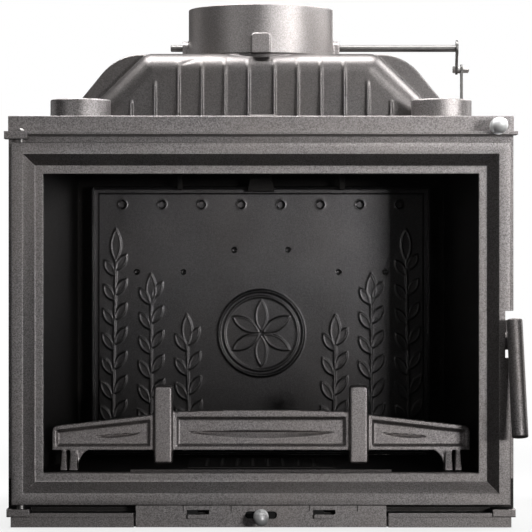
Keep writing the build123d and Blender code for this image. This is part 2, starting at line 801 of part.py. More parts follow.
# ---- Air cover under the door, with the slider behind it ----
cover_top = cover_low + cover_height
channel_low = cover_low + cover_wall + cover_guide
channel_high = cover_top - cover_wall
cover_face_back = cover_front + cover_wall
with BuildPart() as air_cover:
    block((-cover_half, cover_half), (cover_front, cover_front + cover_run), (cover_low, cover_top))
    inner = cover_half - cover_wall
    block((-inner, inner), (cover_face_back, cover_front + cover_run + over), (channel_low, channel_high), Mode.SUBTRACT)
    for side in (-1, 1):
        x = (side * window_centre - window_width / 2, side * window_centre + window_width / 2)
        block(x, (cover_front - over, cover_face_back + over), (window_low, window_low + window_height), Mode.SUBTRACT)
        sill = (x[0] + sill_inset, x[1] - sill_inset)
        block(sill, (cover_front - sill_reach, cover_front), (window_low - sill_height, window_low))
        for offset in (-1, 1):
            centre = side * window_centre + offset * rebate_offset
            x = (centre - rebate_half, centre + rebate_half)
            block(x, (cover_front - over, cover_front + rebate_sink), (cover_top - rebate_height, cover_top + over), Mode.SUBTRACT)
    with BuildSketch(facing(cover_face_back + over)):
        with Locations((0, knob_height + slot_lift)):
            SlotOverall(2 * slot_half, slot_height)
    extrude(amount=cover_wall + 2 * over, mode=Mode.SUBTRACT)
    for side in (-1, 1):
        x = sorted((side * (stud_x - stud_boss_half), side * (inner + over)))
        block(x, (cover_face_back - over, cover_front + cover_run), (channel_low - over, channel_high + over))
    with BuildSketch(facing(cover_front + cover_run)):
        with Locations(*stud_places):
            Circle(stud_radius)
    extrude(amount=cover_run - cover_wall, mode=Mode.SUBTRACT)
finish(air_cover, "air_cover")

with BuildPart() as cover_studs:
    with BuildSketch(facing(cover_face_back)):
        with Locations(*stud_places):
            Circle(stud_radius)
    extrude(amount=-(cover_run - cover_wall + stud_sink))
finish(cover_studs, "cover_studs")

slider_front = cover_face_back + seam
with BuildPart() as air_slider:
    block((-slider_half, slider_half), (slider_front, slider_front + slider_wall), (channel_low + seam, channel_high - seam))
    for side in (-1, 1):
        centre = side * window_centre + slider_travel
        x = (centre - window_width / 2, centre + window_width / 2)
        block(x, (slider_front - over, slider_front + slider_wall + over), (window_low, window_low + slider_window_height), Mode.SUBTRACT)
finish(air_slider, "air_slider")

with BuildPart() as slider_guides:
    guide_front = slider_front + slider_wall + seam
    for centre in guide_centres:
        for x in (-centre, centre):
            block((x - guide_width / 2, x + guide_width / 2), (guide_front, guide_front + slider_wall), (channel_low, channel_high))
finish(slider_guides, "slider_guides")


def pull_knob(x, height, stem, ball, ball_depth, ring, ring_depth, tail_depth):
    """Ball on a stem with a stop ring, all on one axis from front to back."""
    with BuildPart() as knob:
        with BuildSketch(facing(tail_depth)):
            with Locations((x, height)):
                Circle(stem)
        extrude(amount=tail_depth - ball_depth)
        with BuildSketch(facing(ring_depth)):
            with Locations((x, height)):
                Circle(ring)
        extrude(amount=ring_wall)
        with Locations((x, behind(ball_depth), height)):
            Sphere(ball)
    return knob


slider_knob = pull_knob(
    0,
    knob_height,
    slider_stem_radius,
    slider_ball_radius,
    slider_ball_depth,
    slider_ring_radius,
    cover_front - ring_gap,
    slider_front,
)
finish(slider_knob, "slider_knob")

# ---- Side liners, fireback and its keepers ----
def side_liner(side):
    """Cast liner against one side wall: 1 is right, -1 is left."""
    with BuildPart() as casting:
        with BuildSketch(Plane.XY.offset(floor_top)):
            outer = [body_half(d) - wall for d in (liner_front, fireback_depth + fireback_wall)]
            with BuildLine():
                Polyline(
                    (side * outer[0], behind(liner_front)),
                    (side * outer[1], behind(fireback_depth + fireback_wall)),
                    (side * (outer[1] - liner_wall), behind(fireback_depth + fireback_wall)),
                    (side * (outer[0] - liner_wall), behind(liner_front)),
                    close=True,
                )
            make_face()
        extrude(amount=liner_top - floor_top)
    return casting


left_liner = side_liner(-1)
finish(left_liner, "left_liner")
right_liner = side_liner(1)
finish(right_liner, "right_liner")

with BuildPart() as fireback:
    with BuildSketch(facing(fireback_depth + fireback_wall)):
        with Locations((0, (floor_top + fireback_top) / 2)):
            RectangleRounded(2 * fireback_half, fireback_top - floor_top, fireback_round)
    extrude(amount=fireback_wall)
    chamfer(fireback.faces().sort_by(Axis.Y)[0].edges(), length=fireback_rim, length2=fireback_rim / 2)
    with BuildSketch(facing(fireback_depth + fireback_wall)):
        for side in (-1, 1):
            for index in range(4):
                with Locations((side * vent_pitch * (index + 0.5), vent_height)):
                    Circle(vent_radius)
            for x, drop in bolt_holes:
                with Locations((side * x, fireback_top - drop)):
                    Circle(bolt_hole_radius)
    extrude(amount=fireback_wall, mode=Mode.SUBTRACT)
    spacer = fireback_half - spacer_inset
    for x in ((-spacer, spacer_width - spacer), (spacer - spacer_width, spacer)):
        block(x, (fireback_depth + fireback_wall, rear_depth - wall), (floor_top + spacer_inset, fireback_top - spacer_inset))
finish(fireback, "fireback")

# ---- Baffle over the fire, resting on the liners, with lugs that keep the fireback upright ----
with BuildPart() as baffle_plate:
    with BuildSketch(Plane.XY.offset(liner_top)):
        tapered_plan(baffle_front, rear_depth - wall - baffle_gap, wall + baffle_gap)
    extrude(amount=baffle_wall)
    lug_foot = fireback_top - keeper_reach
    with BuildSketch(facing(fireback_depth - seam)):
        Polygon(
            (-keeper_top_half, liner_top),
            (-keeper_foot_half, lug_foot),
            (keeper_foot_half, lug_foot),
            (keeper_top_half, liner_top),
            align=None,
        )
        for x in (-keeper_lug_x, keeper_lug_x):
            span((x - side_keeper_half, x + side_keeper_half), (fireback_top - side_keeper_reach, liner_top))
    extrude(amount=keeper_reach)
finish(baffle_plate, "baffle_plate")

# ---- Floor grate and ash pan ----
with BuildPart() as floor_grate:
    block((-grate_half, grate_half), (grate_front, grate_rear), (floor_top - grate_seat, floor_top + grate_proud))
    columns = int((2 * grate_half - grate_pitch) / grate_pitch)
    rows = int((grate_rear - grate_front - grate_pitch) / grate_pitch)
    with BuildSketch(Plane.XY.offset(floor_top + grate_proud)):
        with Locations((0, behind((grate_front + grate_rear) / 2))):
            with GridLocations(grate_pitch, grate_pitch, columns, rows):
                Circle(grate_hole_radius)
    extrude(amount=-grate_wall, mode=Mode.SUBTRACT)
finish(floor_grate, "floor_grate")

with BuildPart() as ash_pan:
    pan_half = grate_half - pan_margin
    pan = (grate_front + pan_margin, grate_rear - pan_margin)
    block((-pan_half, pan_half), pan, (base_wall, base_wall + pan_height))
    pan_inside = (pan[0] + pan_wall, pan[1] - pan_wall)
    block((-pan_half + pan_wall, pan_half - pan_wall), pan_inside, (base_wall + pan_wall, base_wall + pan_height + over), Mode.SUBTRACT)
finish(ash_pan, "ash_pan")

# ---- Log guard behind the door ----
guard_middle = guard_depth + guard_wall / 2
wing_slope = (guard_wing_top - guard_end_top) / (guard_half - post_centre)


def wing_top(x, drop):
    """Height of a wing's top edge at a distance from the middle, less a drop."""
    return guard_end_top + wing_slope * (guard_half - x) - drop


def post_side(vertex):
    """True where a corner of the active sketch lies on the side of a post's core."""
    return abs(abs(abs(vertex.X) - post_centre) - core_half) < seam and post_low + over < vertex.Y < post_top - over


core_half = post_width / 2 - over
with BuildPart() as log_guard:
    with BuildSketch(facing(guard_depth + guard_wall)) as beam:
        with BuildLine():
            ThreePointArc((-post_centre, guard_shoulder), (0, guard_crown), (post_centre, guard_shoulder))
            Polyline(
                (post_centre, guard_shoulder),
                (post_centre, guard_wing_top),
                (guard_half, guard_end_top),
                (guard_half, guard_low),
                (-guard_half, guard_low),
                (-guard_half, guard_end_top),
                (-post_centre, guard_wing_top),
                (-post_centre, guard_shoulder),
            )
        make_face()
        for side in (-1, 1):
            with BuildLine():
                bracket_top = side * (foot_inner - bracket_run)
                bracket = side * foot_inner
                heel = side * (foot_inner + inner_prong)
                Polyline((bracket, post_low), (heel, post_low), (heel, guard_low + over), (bracket_top, guard_low + over))
                RadiusArc((bracket_top, guard_low + over), (bracket, post_low), side * bracket_radius)
            make_face()
            core = (side * post_centre - core_half, side * post_centre + core_half)
            span(core, (post_low + post_round, post_top - post_round))
        fillet([corner for corner in beam.vertices() if post_side(corner) and guard_low - over < corner.Y < guard_crown], radius=post_flare)
    extrude(amount=guard_wall)
    corners = log_guard.edges().filter_by(Axis.Y).group_by(Axis.X)
    fillet(corners[0].sort_by(Axis.Z)[-1:] + corners[-1].sort_by(Axis.Z)[-1:], radius=guard_round)
    with BuildPart(mode=Mode.PRIVATE) as post:
        with BuildSketch(facing(guard_middle + post_wall / 2)) as outline:
            span((-post_width / 2, post_width / 2), (post_low, post_top))
            fillet(outline.vertices().group_by(Axis.Y)[-1], radius=post_round)
            fillet(outline.vertices().group_by(Axis.Y)[0], radius=post_foot_round)
        extrude(amount=post_wall)
        chamfer(post.faces().sort_by(Axis.Y)[0].edges(), length=post_chamfer)
    with Locations((-post_centre, 0, 0), (post_centre, 0, 0)):
        add(post.part)
    for side in (-1, 1):
        outer = (foot_outer - outer_prong, foot_outer)
        inner = (foot_outer - outer_prong - prong_gap - inner_prong, foot_outer - outer_prong - prong_gap)
        for near, far in (outer, inner):
            with BuildSketch(Plane.XY.offset(floor_top)):
                span(sorted((side * near, side * far)), (behind(guard_middle - foot_wall / 2), behind(guard_middle + foot_wall / 2)))
            with BuildSketch(Plane.XY.offset(guard_low)):
                prong = sorted((side * (near + prong_taper), side * (far - prong_taper)))
                span(prong, (behind(guard_middle - guard_wall / 2), behind(guard_middle + guard_wall / 2)))
            loft()
    panel = guard_low + border
    near = post_centre + post_width / 2 + border
    far = guard_half - border
    inner_end = post_centre - post_width / 2 - border
    with BuildSketch(facing(guard_depth)):
        span((-inner_end, inner_end), (panel, guard_shoulder - border_top))
        for side in (-1, 1):
            with BuildLine():
                Polyline(
                    (side * near, panel),
                    (side * far, panel),
                    (side * far, wing_top(far, border_top)),
                    (side * near, wing_top(near, border_top)),
                    close=True,
                )
            make_face()
    extrude(amount=-panel_sink, taper=panel_slant, mode=Mode.SUBTRACT)
finish(log_guard, "log_guard")


# ---- Smoke hood ----
def arch(half, spring, shoulder, top):
    """Upright arch outline: straight sides, slopes and a flat top with rounded corners."""
    Polygon(
        (-half, top_plate_top),
        (-half, spring),
        (-shoulder, top),
        (shoulder, top),
        (half, spring),
        (half, top_plate_top),
        align=None,
    )


def hood_form(inset):
    """Solid form of the hood, drawn in from its outer face by inset."""
    with BuildPart() as form:
        with BuildSketch(facing(hood_step + over + inset)):
            arch(nose_half - inset, nose_spring, nose_shoulder - inset / 2, hood_top - inset)
        extrude(amount=hood_step + over - nose_front)
        fillet(form.edges().filter_by(Axis.Y).group_by(Axis.Z)[-1], radius=nose_round - inset / 2)
        front_loop = form.faces().sort_by(Axis.Y)[0].edges()
        rim = front_loop.filter_by(lambda edge: edge.center().Z > top_plate_top + over)
        fillet(rim, radius=nose_edge_round - inset)
        with BuildSketch(facing(hood_rear - inset)):
            arch(hood_half - inset, hood_spring, hood_shoulder - inset / 2, hood_top - inset)
        extrude(amount=hood_rear - hood_step - 2 * inset)
        tops = form.edges().filter_by(Axis.Y).filter_by(lambda edge: edge.center().Y > behind(hood_step) + hood_wall / 2)
        fillet(tops.group_by(Axis.Z)[-1], radius=hood_round - inset)
    return form.part


def crest(angle, reach):
    """(Y, Z) of a point over the nose's rounded front edge, at an angle up from its foot."""
    radius = nose_edge_round + reach
    turn = math.radians(angle)
    rise = radius * math.sin(turn) - nose_edge_round
    return (behind(nose_front + nose_edge_round - radius * math.cos(turn)), hood_top + rise)


hood_outside = hood_form(0)
hood_inside = hood_form(hood_wall)
with BuildPart() as smoke_hood:
    add(hood_outside)
    with BuildSketch(Plane.XY.offset(neck_low)):
        Circle(collar_radius)
    extrude(amount=hood_top - neck_low)
    fin_root = (behind(nose_front + hood_wall), top_plate_top)
    fin_front = [(behind(nose_front - fin_reach), top_plate_top + rise) for rise in (0, fin_foot)]
    for index, fin_drop in enumerate(fin_drops):
        for side in (-1, 1):
            x = side * (fin_first + fin_pitch * index)
            with BuildSketch(Plane.YZ.offset(x - fin_wall / 2)):
                with BuildLine():
                    if fin_drop:
                        fin_end = (fin_root[0], hood_top - fin_drop)
                        Polyline(fin_root, *fin_front, (behind(nose_front), hood_top - fin_drop), fin_end)
                    else:
                        knee = crest(0, fin_top_reach)
                        fin_end = crest(fin_crest, -over)
                        Polyline(fin_root, *fin_front, knee)
                        ThreePointArc(knee, crest(fin_crest / 2, fin_top_reach / 2), fin_end)
                    Line(fin_end, fin_root)
                make_face()
            extrude(amount=fin_wall)
    block((-fin_first, fin_first), (nose_front - fin_reach, nose_front + over), (pocket_low, pocket_low + pocket_wall))
    for side in (-1, 1):
        for depth in hood_lug_depths:
            x = sorted((side * (hood_half - hood_wall / 4), side * (hood_half + hood_lug)))
            block(x, (depth - hood_lug / 2, depth + hood_lug / 2), (top_plate_top, top_plate_top + hood_lug_wall))
    with Locations(*[(x, y, top_plate_top + hood_lug_wall) for x, y in hood_bolt_places]):
        Hole(radius=hood_bolt_radius, depth=hood_lug_wall)
    add(hood_inside, mode=Mode.SUBTRACT)
    with BuildSketch(Plane.XY.offset(hood_top - 2 * hood_wall)):
        Circle(collar_radius - collar_wall - pipe_stop)
    extrude(amount=3 * hood_wall, mode=Mode.SUBTRACT)
finish(smoke_hood, "smoke_hood")

# ---- Bolts that hold the hood down ----
with BuildPart() as hood_bolts:
    with BuildSketch(Plane.XY.offset(top_plate_top + hood_lug_wall)):
        with Locations(*hood_bolt_places):
            RegularPolygon(nut_radius, 6)
    extrude(amount=bolt_head)
    with BuildSketch(Plane.XY.offset(top_plate_low)):
        with Locations(*hood_bolt_places):
            Circle(hood_bolt_radius)
    extrude(amount=top_plate_wall + hood_lug_wall)
finish(hood_bolts, "hood_bolts")

# ---- Flue collar ----
socket_floor = hood_top + collar_height - socket_depth
with BuildPart() as flue_collar:
    with BuildSketch(Plane.XY.offset(hood_top)):
        Circle(collar_radius)
    extrude(amount=collar_height)
    with BuildSketch(Plane.YZ.offset(-collar_radius - ear_reach)):
        with Locations((0, shaft_height)):
            Circle(ear_radius)
        span((-ear_radius, ear_radius), (hood_top, shaft_height))
    extrude(amount=2 * (collar_radius + ear_reach))
    with BuildSketch(facing(flue_setback - collar_radius - boss_reach)):
        span((-boss_width / 2, boss_width / 2), (hood_top, hood_top + boss_height))
    extrude(amount=-2 * boss_reach)
    boss_top = flue_collar.edges().filter_by(Axis.Y).filter_by(lambda edge: edge.center().Y < -collar_radius)
    fillet(boss_top.group_by(Axis.Z)[-1], radius=boss_round)
    with BuildSketch(Plane.XY.offset(hood_top)):
        Circle(collar_radius - collar_wall - pipe_stop)
    extrude(amount=collar_height, mode=Mode.SUBTRACT)
    with BuildSketch(Plane.XY.offset(socket_floor)):
        Circle(collar_radius - collar_wall)
    extrude(amount=socket_depth, mode=Mode.SUBTRACT)
    with BuildSketch(Plane.YZ.offset(-collar_radius - ear_reach)):
        with Locations((0, shaft_height)):
            Circle(shaft_radius + pin_play)
    extrude(amount=2 * (collar_radius + ear_reach), mode=Mode.SUBTRACT)
finish(flue_collar, "flue_collar")

# ---- Damper plate, shaft, crank and crank bolt ----
crank_angle = math.radians(crank_lean)
crank_pin = (crank_arm * math.sin(crank_angle), shaft_height - crank_arm * math.cos(crank_angle))
crank_x = shaft_right - crank_wall
with BuildPart() as damper_shaft:
    with BuildSketch(Plane.YZ.offset(shaft_left)):
        with Locations((0, shaft_height)):
            Circle(shaft_radius)
    extrude(amount=shaft_right - shaft_left)
    chamfer(damper_shaft.edges().group_by(Axis.X)[0], length=shaft_chamfer)
finish(damper_shaft, "damper_shaft")

with BuildPart() as damper_plate:
    with BuildSketch(Plane.XY.offset(shaft_height - damper_wall / 2)):
        Circle(damper_radius)
    extrude(amount=damper_wall)
    hub_half = damper_radius - damper_hub_inset
    with BuildSketch(Plane.YZ.offset(-hub_half)):
        with Locations((0, shaft_height)):
            Circle(damper_hub_radius)
    extrude(amount=2 * hub_half)
    with BuildSketch(Plane.YZ.offset(-damper_radius)):
        with Locations((0, shaft_height)):
            Circle(shaft_radius)
    extrude(amount=2 * damper_radius, mode=Mode.SUBTRACT)
finish(damper_plate, "damper_plate")

with BuildPart() as damper_crank:
    with BuildSketch(Plane.YZ.offset(crank_x)):
        with Locations((0, shaft_height)):
            Circle(crank_hub_radius)
        with Locations(crank_pin):
            Circle(crank_eye_radius)
        across = Vector(math.cos(crank_angle), math.sin(crank_angle))
        with BuildLine():
            Polyline(
                (-crank_eye_radius * across.X, shaft_height - crank_eye_radius * across.Y),
                (crank_pin[0] - crank_eye_radius * across.X, crank_pin[1] - crank_eye_radius * across.Y),
                (crank_pin[0] + crank_eye_radius * across.X, crank_pin[1] + crank_eye_radius * across.Y),
                (crank_eye_radius * across.X, shaft_height + crank_eye_radius * across.Y),
                close=True,
            )
        make_face()
        with Locations((0, shaft_height)):
            Circle(shaft_radius, mode=Mode.SUBTRACT)
        with Locations(crank_pin):
            Circle(crank_bolt_radius, mode=Mode.SUBTRACT)
    extrude(amount=crank_wall)
finish(damper_crank, "damper_crank")

nut_face = link_x + link_wall + seam
with BuildPart() as crank_bolt:
    with BuildSketch(Plane.YZ.offset(crank_x)):
        with Locations(crank_pin):
            Circle(crank_bolt_radius)
    extrude(amount=nut_face + crank_nut_height + crank_bolt_end - crank_x)
    with BuildSketch(Plane.YZ.offset(crank_x)):
        with Locations(crank_pin):
            RegularPolygon(crank_head_radius, 6)
    extrude(amount=-crank_head)
    with BuildSketch(Plane.YZ.offset(shaft_right)):
        with Locations(crank_pin):
            Circle(crank_nut_radius)
    extrude(amount=link_x - seam - shaft_right)
finish(crank_bolt, "crank_bolt")

with BuildPart() as crank_nut:
    with BuildSketch(Plane.YZ.offset(nut_face)):
        with Locations(crank_pin):
            RegularPolygon(crank_nut_radius, 6)
            Circle(crank_bolt_radius, mode=Mode.SUBTRACT)
    extrude(amount=crank_nut_height)
finish(crank_nut, "crank_nut")

# ---- Control link, rod and knob ----
with BuildPart() as control_link:
    link_low = rod_height - rod_radius
    with BuildSketch(Plane.YZ.offset(link_x)):
        with Locations(crank_pin):
            Circle(link_eye_radius)
        span((crank_pin[0] - link_eye_radius, crank_pin[0] + link_eye_radius), (link_low, crank_pin[1]))
        with Locations(crank_pin):
            Circle(crank_bolt_radius + pin_play, mode=Mode.SUBTRACT)
    extrude(amount=link_wall)
finish(control_link, "control_link")

with BuildPart() as control_rod:
    with BuildLine() as rod_path:
        FilletPolyline(
            (rod_x, behind(-ring_gap), rod_height),
            (rod_x, crank_pin[0], rod_height),
            (link_x + link_wall, crank_pin[0], rod_height),
            radius=rod_bend,
        )
    with BuildSketch(Plane(origin=rod_path.line @ 0, z_dir=rod_path.line % 0)):
        Circle(rod_radius)
    sweep()
finish(control_rod, "control_rod")

control_knob = pull_knob(
    rod_x,
    rod_height,
    rod_radius,
    control_ball_radius,
    control_ball_depth,
    control_ring_radius,
    -ring_gap,
    -ring_gap,
)
finish(control_knob, "control_knob")


# ---- Blanked stubs on the top plate ----
def stub(side):
    """Round cast stub on one side: 1 is right, -1 is left."""
    with BuildPart() as casting:
        with BuildSketch(Plane.XY.offset(top_plate_top)):
            with Locations((side * stub_x, behind(stub_depth))):
                Circle(stub_radius)
                Circle(stub_radius - stub_wall, mode=Mode.SUBTRACT)
        extrude(amount=stub_height)
        fillet(casting.edges().group_by(Axis.Z)[-1], radius=stub_round)
    return casting


left_stub = stub(-1)
finish(left_stub, "left_stub")
right_stub = stub(1)
finish(right_stub, "right_stub")

with BuildPart() as stub_caps:
    with BuildSketch(Plane.XY.offset(top_plate_top + stub_height - cap_drop - cap_wall)):
        with Locations((-stub_x, behind(stub_depth)), (stub_x, behind(stub_depth))):
            Circle(stub_radius - stub_wall)
    extrude(amount=cap_wall)
finish(stub_caps, "stub_caps")
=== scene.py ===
import math

import bmesh
import bpy
import numpy as np
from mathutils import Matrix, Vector, noise


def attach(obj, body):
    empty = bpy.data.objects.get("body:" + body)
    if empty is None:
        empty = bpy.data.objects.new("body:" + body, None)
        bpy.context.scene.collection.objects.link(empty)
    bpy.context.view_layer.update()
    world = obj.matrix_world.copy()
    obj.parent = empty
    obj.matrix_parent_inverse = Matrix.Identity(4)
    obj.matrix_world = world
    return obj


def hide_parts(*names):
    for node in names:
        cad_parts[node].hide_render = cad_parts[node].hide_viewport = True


# A cast-iron fireplace insert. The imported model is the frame; everything is in metres,
# +Z up, front towards -Y. Depths are millimetres behind the door's face.

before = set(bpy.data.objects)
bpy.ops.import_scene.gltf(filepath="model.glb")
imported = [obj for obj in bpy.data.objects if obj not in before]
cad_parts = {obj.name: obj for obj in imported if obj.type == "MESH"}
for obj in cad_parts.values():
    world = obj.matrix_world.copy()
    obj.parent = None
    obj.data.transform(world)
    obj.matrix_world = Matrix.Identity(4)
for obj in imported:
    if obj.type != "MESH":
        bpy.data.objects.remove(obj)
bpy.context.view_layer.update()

MM = 0.001
SETBACK = 215.0             # flue axis behind the door's face
WELD = 0.000002             # vertices nearer than this are one
SOOT = (0.012, 0.011, 0.010)

# Camera: place, lens in millimetres and the picture's shift
EYE = (0.0, -3.615, 0.316)
LENS = 184.0
SENSOR = 36.0
SHIFT = (0.0094, 0.0169)

# The firebox, darkened inside as soot and painted shade, in metres: over its floor, under its top, between
# its walls
FIREBOX_FLOOR = 0.058
FIREBOX_TOP = 0.49
FIREBOX_FRONT = -0.178
FIREBOX_REAR = 0.1535
FIREBOX_HALF = 0.2764       # half width at the flue axis
FIREBOX_NARROWING = 0.0947  # lost on each side, per metre back
FIREBOX_SOOT_AND_SHADE = 0.93

# The recess over the ledge, under the door, darkened as painted shade
RECESS_LOW = 0.0125
RECESS_TOP = 0.060
RECESS_FRONT = -0.2085
RECESS_REAR = -0.176
RECESS_SHADE = 0.9
DARKENING_FADE = 0.002           # run over which these masks fade

# Painted shade on the fireback, darker towards its bottom: none at this height, full at the hearth
LOW_SHADE_START = 0.33
LOW_SHADE_FULL = 0.11


def at(x, depth, z):
    """A point from millimetres across, behind the door's face and up."""
    return Vector((x * MM, (depth - SETBACK) * MM, z * MM))


bpy.context.scene.view_settings.view_transform = "Standard"

# ---- Camera, at the photograph's view ----
cam_data = bpy.data.cameras.new("camera")
cam_data.lens = LENS
cam_data.sensor_width = SENSOR
cam_data.shift_x, cam_data.shift_y = SHIFT
cam = bpy.data.objects.new("camera", cam_data)
cam.location = EYE
cam.rotation_euler = (math.radians(90), 0, 0)
bpy.context.collection.objects.link(cam)
bpy.context.scene.camera = cam


# ---- Materials ----
def new_material(name):
    mat = bpy.data.materials.new(name)
    mat.use_nodes = True
    nodes = mat.node_tree.nodes
    shader = nodes["Principled BSDF"]
    return mat, nodes, mat.node_tree.links, shader


def noise_node(nodes, links, vector, scale, detail=2.0, rough=0.5):
    node = nodes.new("ShaderNodeTexNoise")
    node.inputs["Scale"].default_value = scale
    node.inputs["Detail"].default_value = detail
    node.inputs["Roughness"].default_value = rough
    links.new(vector, node.inputs["Vector"])
    return node


def ramp(nodes, links, source, low, high, out_low, out_high):
    node = nodes.new("ShaderNodeMapRange")
    node.inputs["From Min"].default_value = low
    node.inputs["From Max"].default_value = high
    node.inputs["To Min"].default_value = out_low
    node.inputs["To Max"].default_value = out_high
    links.new(source, node.inputs["Value"])
    return node.outputs["Result"]


def mixed(nodes, links, factor, first, second):
    """Colour mix by a socket; first and second are colours or sockets."""
    node = nodes.new("ShaderNodeMix")
    node.data_type = "RGBA"
    links.new(factor, node.inputs["Factor"])
    for socket, value in ((node.inputs[6], first), (node.inputs[7], second)):
        if isinstance(value, tuple):
            socket.default_value = (*value, 1.0)
        else:
            links.new(value, socket)
    return node.outputs[2]


def math_node(nodes, links, operation, first, second):
    node = nodes.new("ShaderNodeMath")
    node.operation = operation
    for socket, value in ((node.inputs[0], first), (node.inputs[1], second)):
        if isinstance(value, float):
            socket.default_value = value
        else:
            links.new(value, socket)
    return node.outputs[0]


def wear_and_highlight_mask(nodes, links, radius):
    """Bright where an edge turns within radius: wear and painted highlight along arrises."""
    bevel = nodes.new("ShaderNodeBevel")
    bevel.samples = 4
    bevel.inputs["Radius"].default_value = radius
    geometry = nodes.new("ShaderNodeNewGeometry")
    dot = nodes.new("ShaderNodeVectorMath")
    dot.operation = "DOT_PRODUCT"
    links.new(bevel.outputs["Normal"], dot.inputs[0])
    links.new(geometry.outputs["Normal"], dot.inputs[1])
    return ramp(nodes, links, dot.outputs["Value"], 0.995, 0.85, 0.0, 1.0)


def tinted(colour, factor, lift=0.0):
    """A colour made lighter or darker, and lifted, kept under white."""
    return tuple(min(1.0, channel * factor + lift) for channel in colour)


def product(nodes, links, first, *others):
    for other in others:
        first = math_node(nodes, links, "MULTIPLY", first, other)
    return first


def rising(nodes, links, source, edge, run=DARKENING_FADE, full=1.0):
    """0 up to an edge, then rising to full over a run; a negative run makes it fall back from there."""
    return ramp(nodes, links, source, edge, edge + run, 0.0, full)


def soot_and_shade_places(nodes, links, place):
    """Mask of the firebox's inside, darkened as soot and painted shade, and of the recess over the ledge,
    darkened as painted shade.
    """
    inside = rising(nodes, links, place.outputs["Z"], FIREBOX_FLOOR, 0.0015)
    behind = rising(nodes, links, place.outputs["Y"], FIREBOX_FRONT, DARKENING_FADE, FIREBOX_SOOT_AND_SHADE)
    below = rising(nodes, links, place.outputs["Z"], FIREBOX_TOP, -DARKENING_FADE)
    across = math_node(nodes, links, "ABSOLUTE", place.outputs["X"], 0.0)
    narrowing = math_node(nodes, links, "MULTIPLY", place.outputs["Y"], FIREBOX_NARROWING)
    reach = math_node(nodes, links, "ADD", across, narrowing)
    between = rising(nodes, links, reach, FIREBOX_HALF, -DARKENING_FADE)
    fore = rising(nodes, links, place.outputs["Y"], FIREBOX_REAR, -DARKENING_FADE)
    firebox = product(nodes, links, inside, below, behind, between, fore)
    low = rising(nodes, links, place.outputs["Z"], RECESS_LOW)
    back = rising(nodes, links, place.outputs["Y"], RECESS_FRONT, DARKENING_FADE, RECESS_SHADE)
    under = rising(nodes, links, place.outputs["Z"], RECESS_TOP, -0.001)
    front = rising(nodes, links, place.outputs["Y"], RECESS_REAR, -DARKENING_FADE)
    recess = product(nodes, links, low, under, back, front)
    return math_node(nodes, links, "MAXIMUM", firebox, recess)


def iron(
    name, colour, roughness, metallic=1.0, grain=0.22, soot=0.0, edge=0.4,
    bump=0.0002, hearth=False, low_painted_shade=0.0,
):
    """Stove paint over sand-cast iron: speckle, blotches, soot, arrises lightened as wear and painted
    highlight, and grain.

    hearth darkens what lies in the firebox, as soot and painted shade, and the recess over the ledge, as
    painted shade; the other paints shade low on the fireback, darker towards its bottom.
    """
    mat, nodes, links, shader = new_material(name)
    coords = nodes.new("ShaderNodeTexCoord").outputs["Object"]
    fine = noise_node(nodes, links, coords, 620.0, 3.0, 0.62)
    speck = noise_node(nodes, links, coords, 1178.0, 1.0, 0.5)
    broad = noise_node(nodes, links, coords, 9.0, 4.0, 0.55)
    cast = noise_node(nodes, links, coords, 160.0, 3.0, 0.6)
    grains = ramp(nodes, links, fine.outputs["Fac"], 0.33, 0.67, 0.0, 1.0)
    base = mixed(nodes, links, grains, tinted(colour, 1.0 - grain * 2.2), tinted(colour, 1.0 + grain * 2.4))
    dusty = ramp(nodes, links, broad.outputs["Fac"], 0.35, 0.7, 0.0, 0.35)
    warm = (colour[0] * 1.18, colour[1] * 1.1, colour[2] * 1.02)
    base = mixed(nodes, links, dusty, base, warm)
    dots = ramp(nodes, links, speck.outputs["Fac"], 0.66, 0.74, 0.0, 0.55)
    base = mixed(nodes, links, dots, base, tinted(colour, 2.1, 0.02))
    if soot > 0:
        smoke = noise_node(nodes, links, coords, 14.0, 5.0, 0.65)
        sooty = ramp(nodes, links, smoke.outputs["Fac"], 0.4, 0.65, 0.0, soot)
        base = mixed(nodes, links, sooty, base, SOOT)
    if hearth or low_painted_shade > 0:
        place = nodes.new("ShaderNodeSeparateXYZ")
        links.new(coords, place.inputs[0])
    # Soot and painted shade in the firebox, painted shade in the recess over the ledge
    if hearth:
        burnt_and_shaded = soot_and_shade_places(nodes, links, place)
        base = mixed(nodes, links, burnt_and_shaded, base, (0.014, 0.013, 0.012))
    # Painted shade: the fireback darker towards its bottom
    if low_painted_shade > 0:
        low = ramp(nodes, links, place.outputs["Z"], LOW_SHADE_START, LOW_SHADE_FULL, 0.0, low_painted_shade)
        base = mixed(nodes, links, low, base, SOOT)
    # Arrises lightened: wear and painted highlight
    if edge > 0:
        mask = wear_and_highlight_mask(nodes, links, 0.0012)
        worn_and_lit = math_node(nodes, links, "MULTIPLY", mask, edge)
        base = mixed(nodes, links, worn_and_lit, base, tinted(colour, 2.0, 0.05))
    links.new(base, shader.inputs["Base Color"])
    shader.inputs["Metallic"].default_value = metallic
    rough = ramp(nodes, links, cast.outputs["Fac"], 0.3, 0.7, roughness - 0.02, roughness + 0.03)
    links.new(rough, shader.inputs["Roughness"])
    pits = math_node(nodes, links, "MULTIPLY", cast.outputs["Fac"], 0.35)
    height = math_node(nodes, links, "ADD", fine.outputs["Fac"], pits)
    bumped = nodes.new("ShaderNodeBump")
    bumped.inputs["Strength"].default_value = 0.9
    bumped.inputs["Distance"].default_value = bump
    links.new(height, bumped.inputs["Height"])
    rounded = nodes.new("ShaderNodeBevel")
    rounded.samples = 4
    rounded.inputs["Radius"].default_value = 0.0008
    links.new(rounded.outputs["Normal"], bumped.inputs["Normal"])
    links.new(bumped.outputs["Normal"], shader.inputs["Normal"])
    return mat


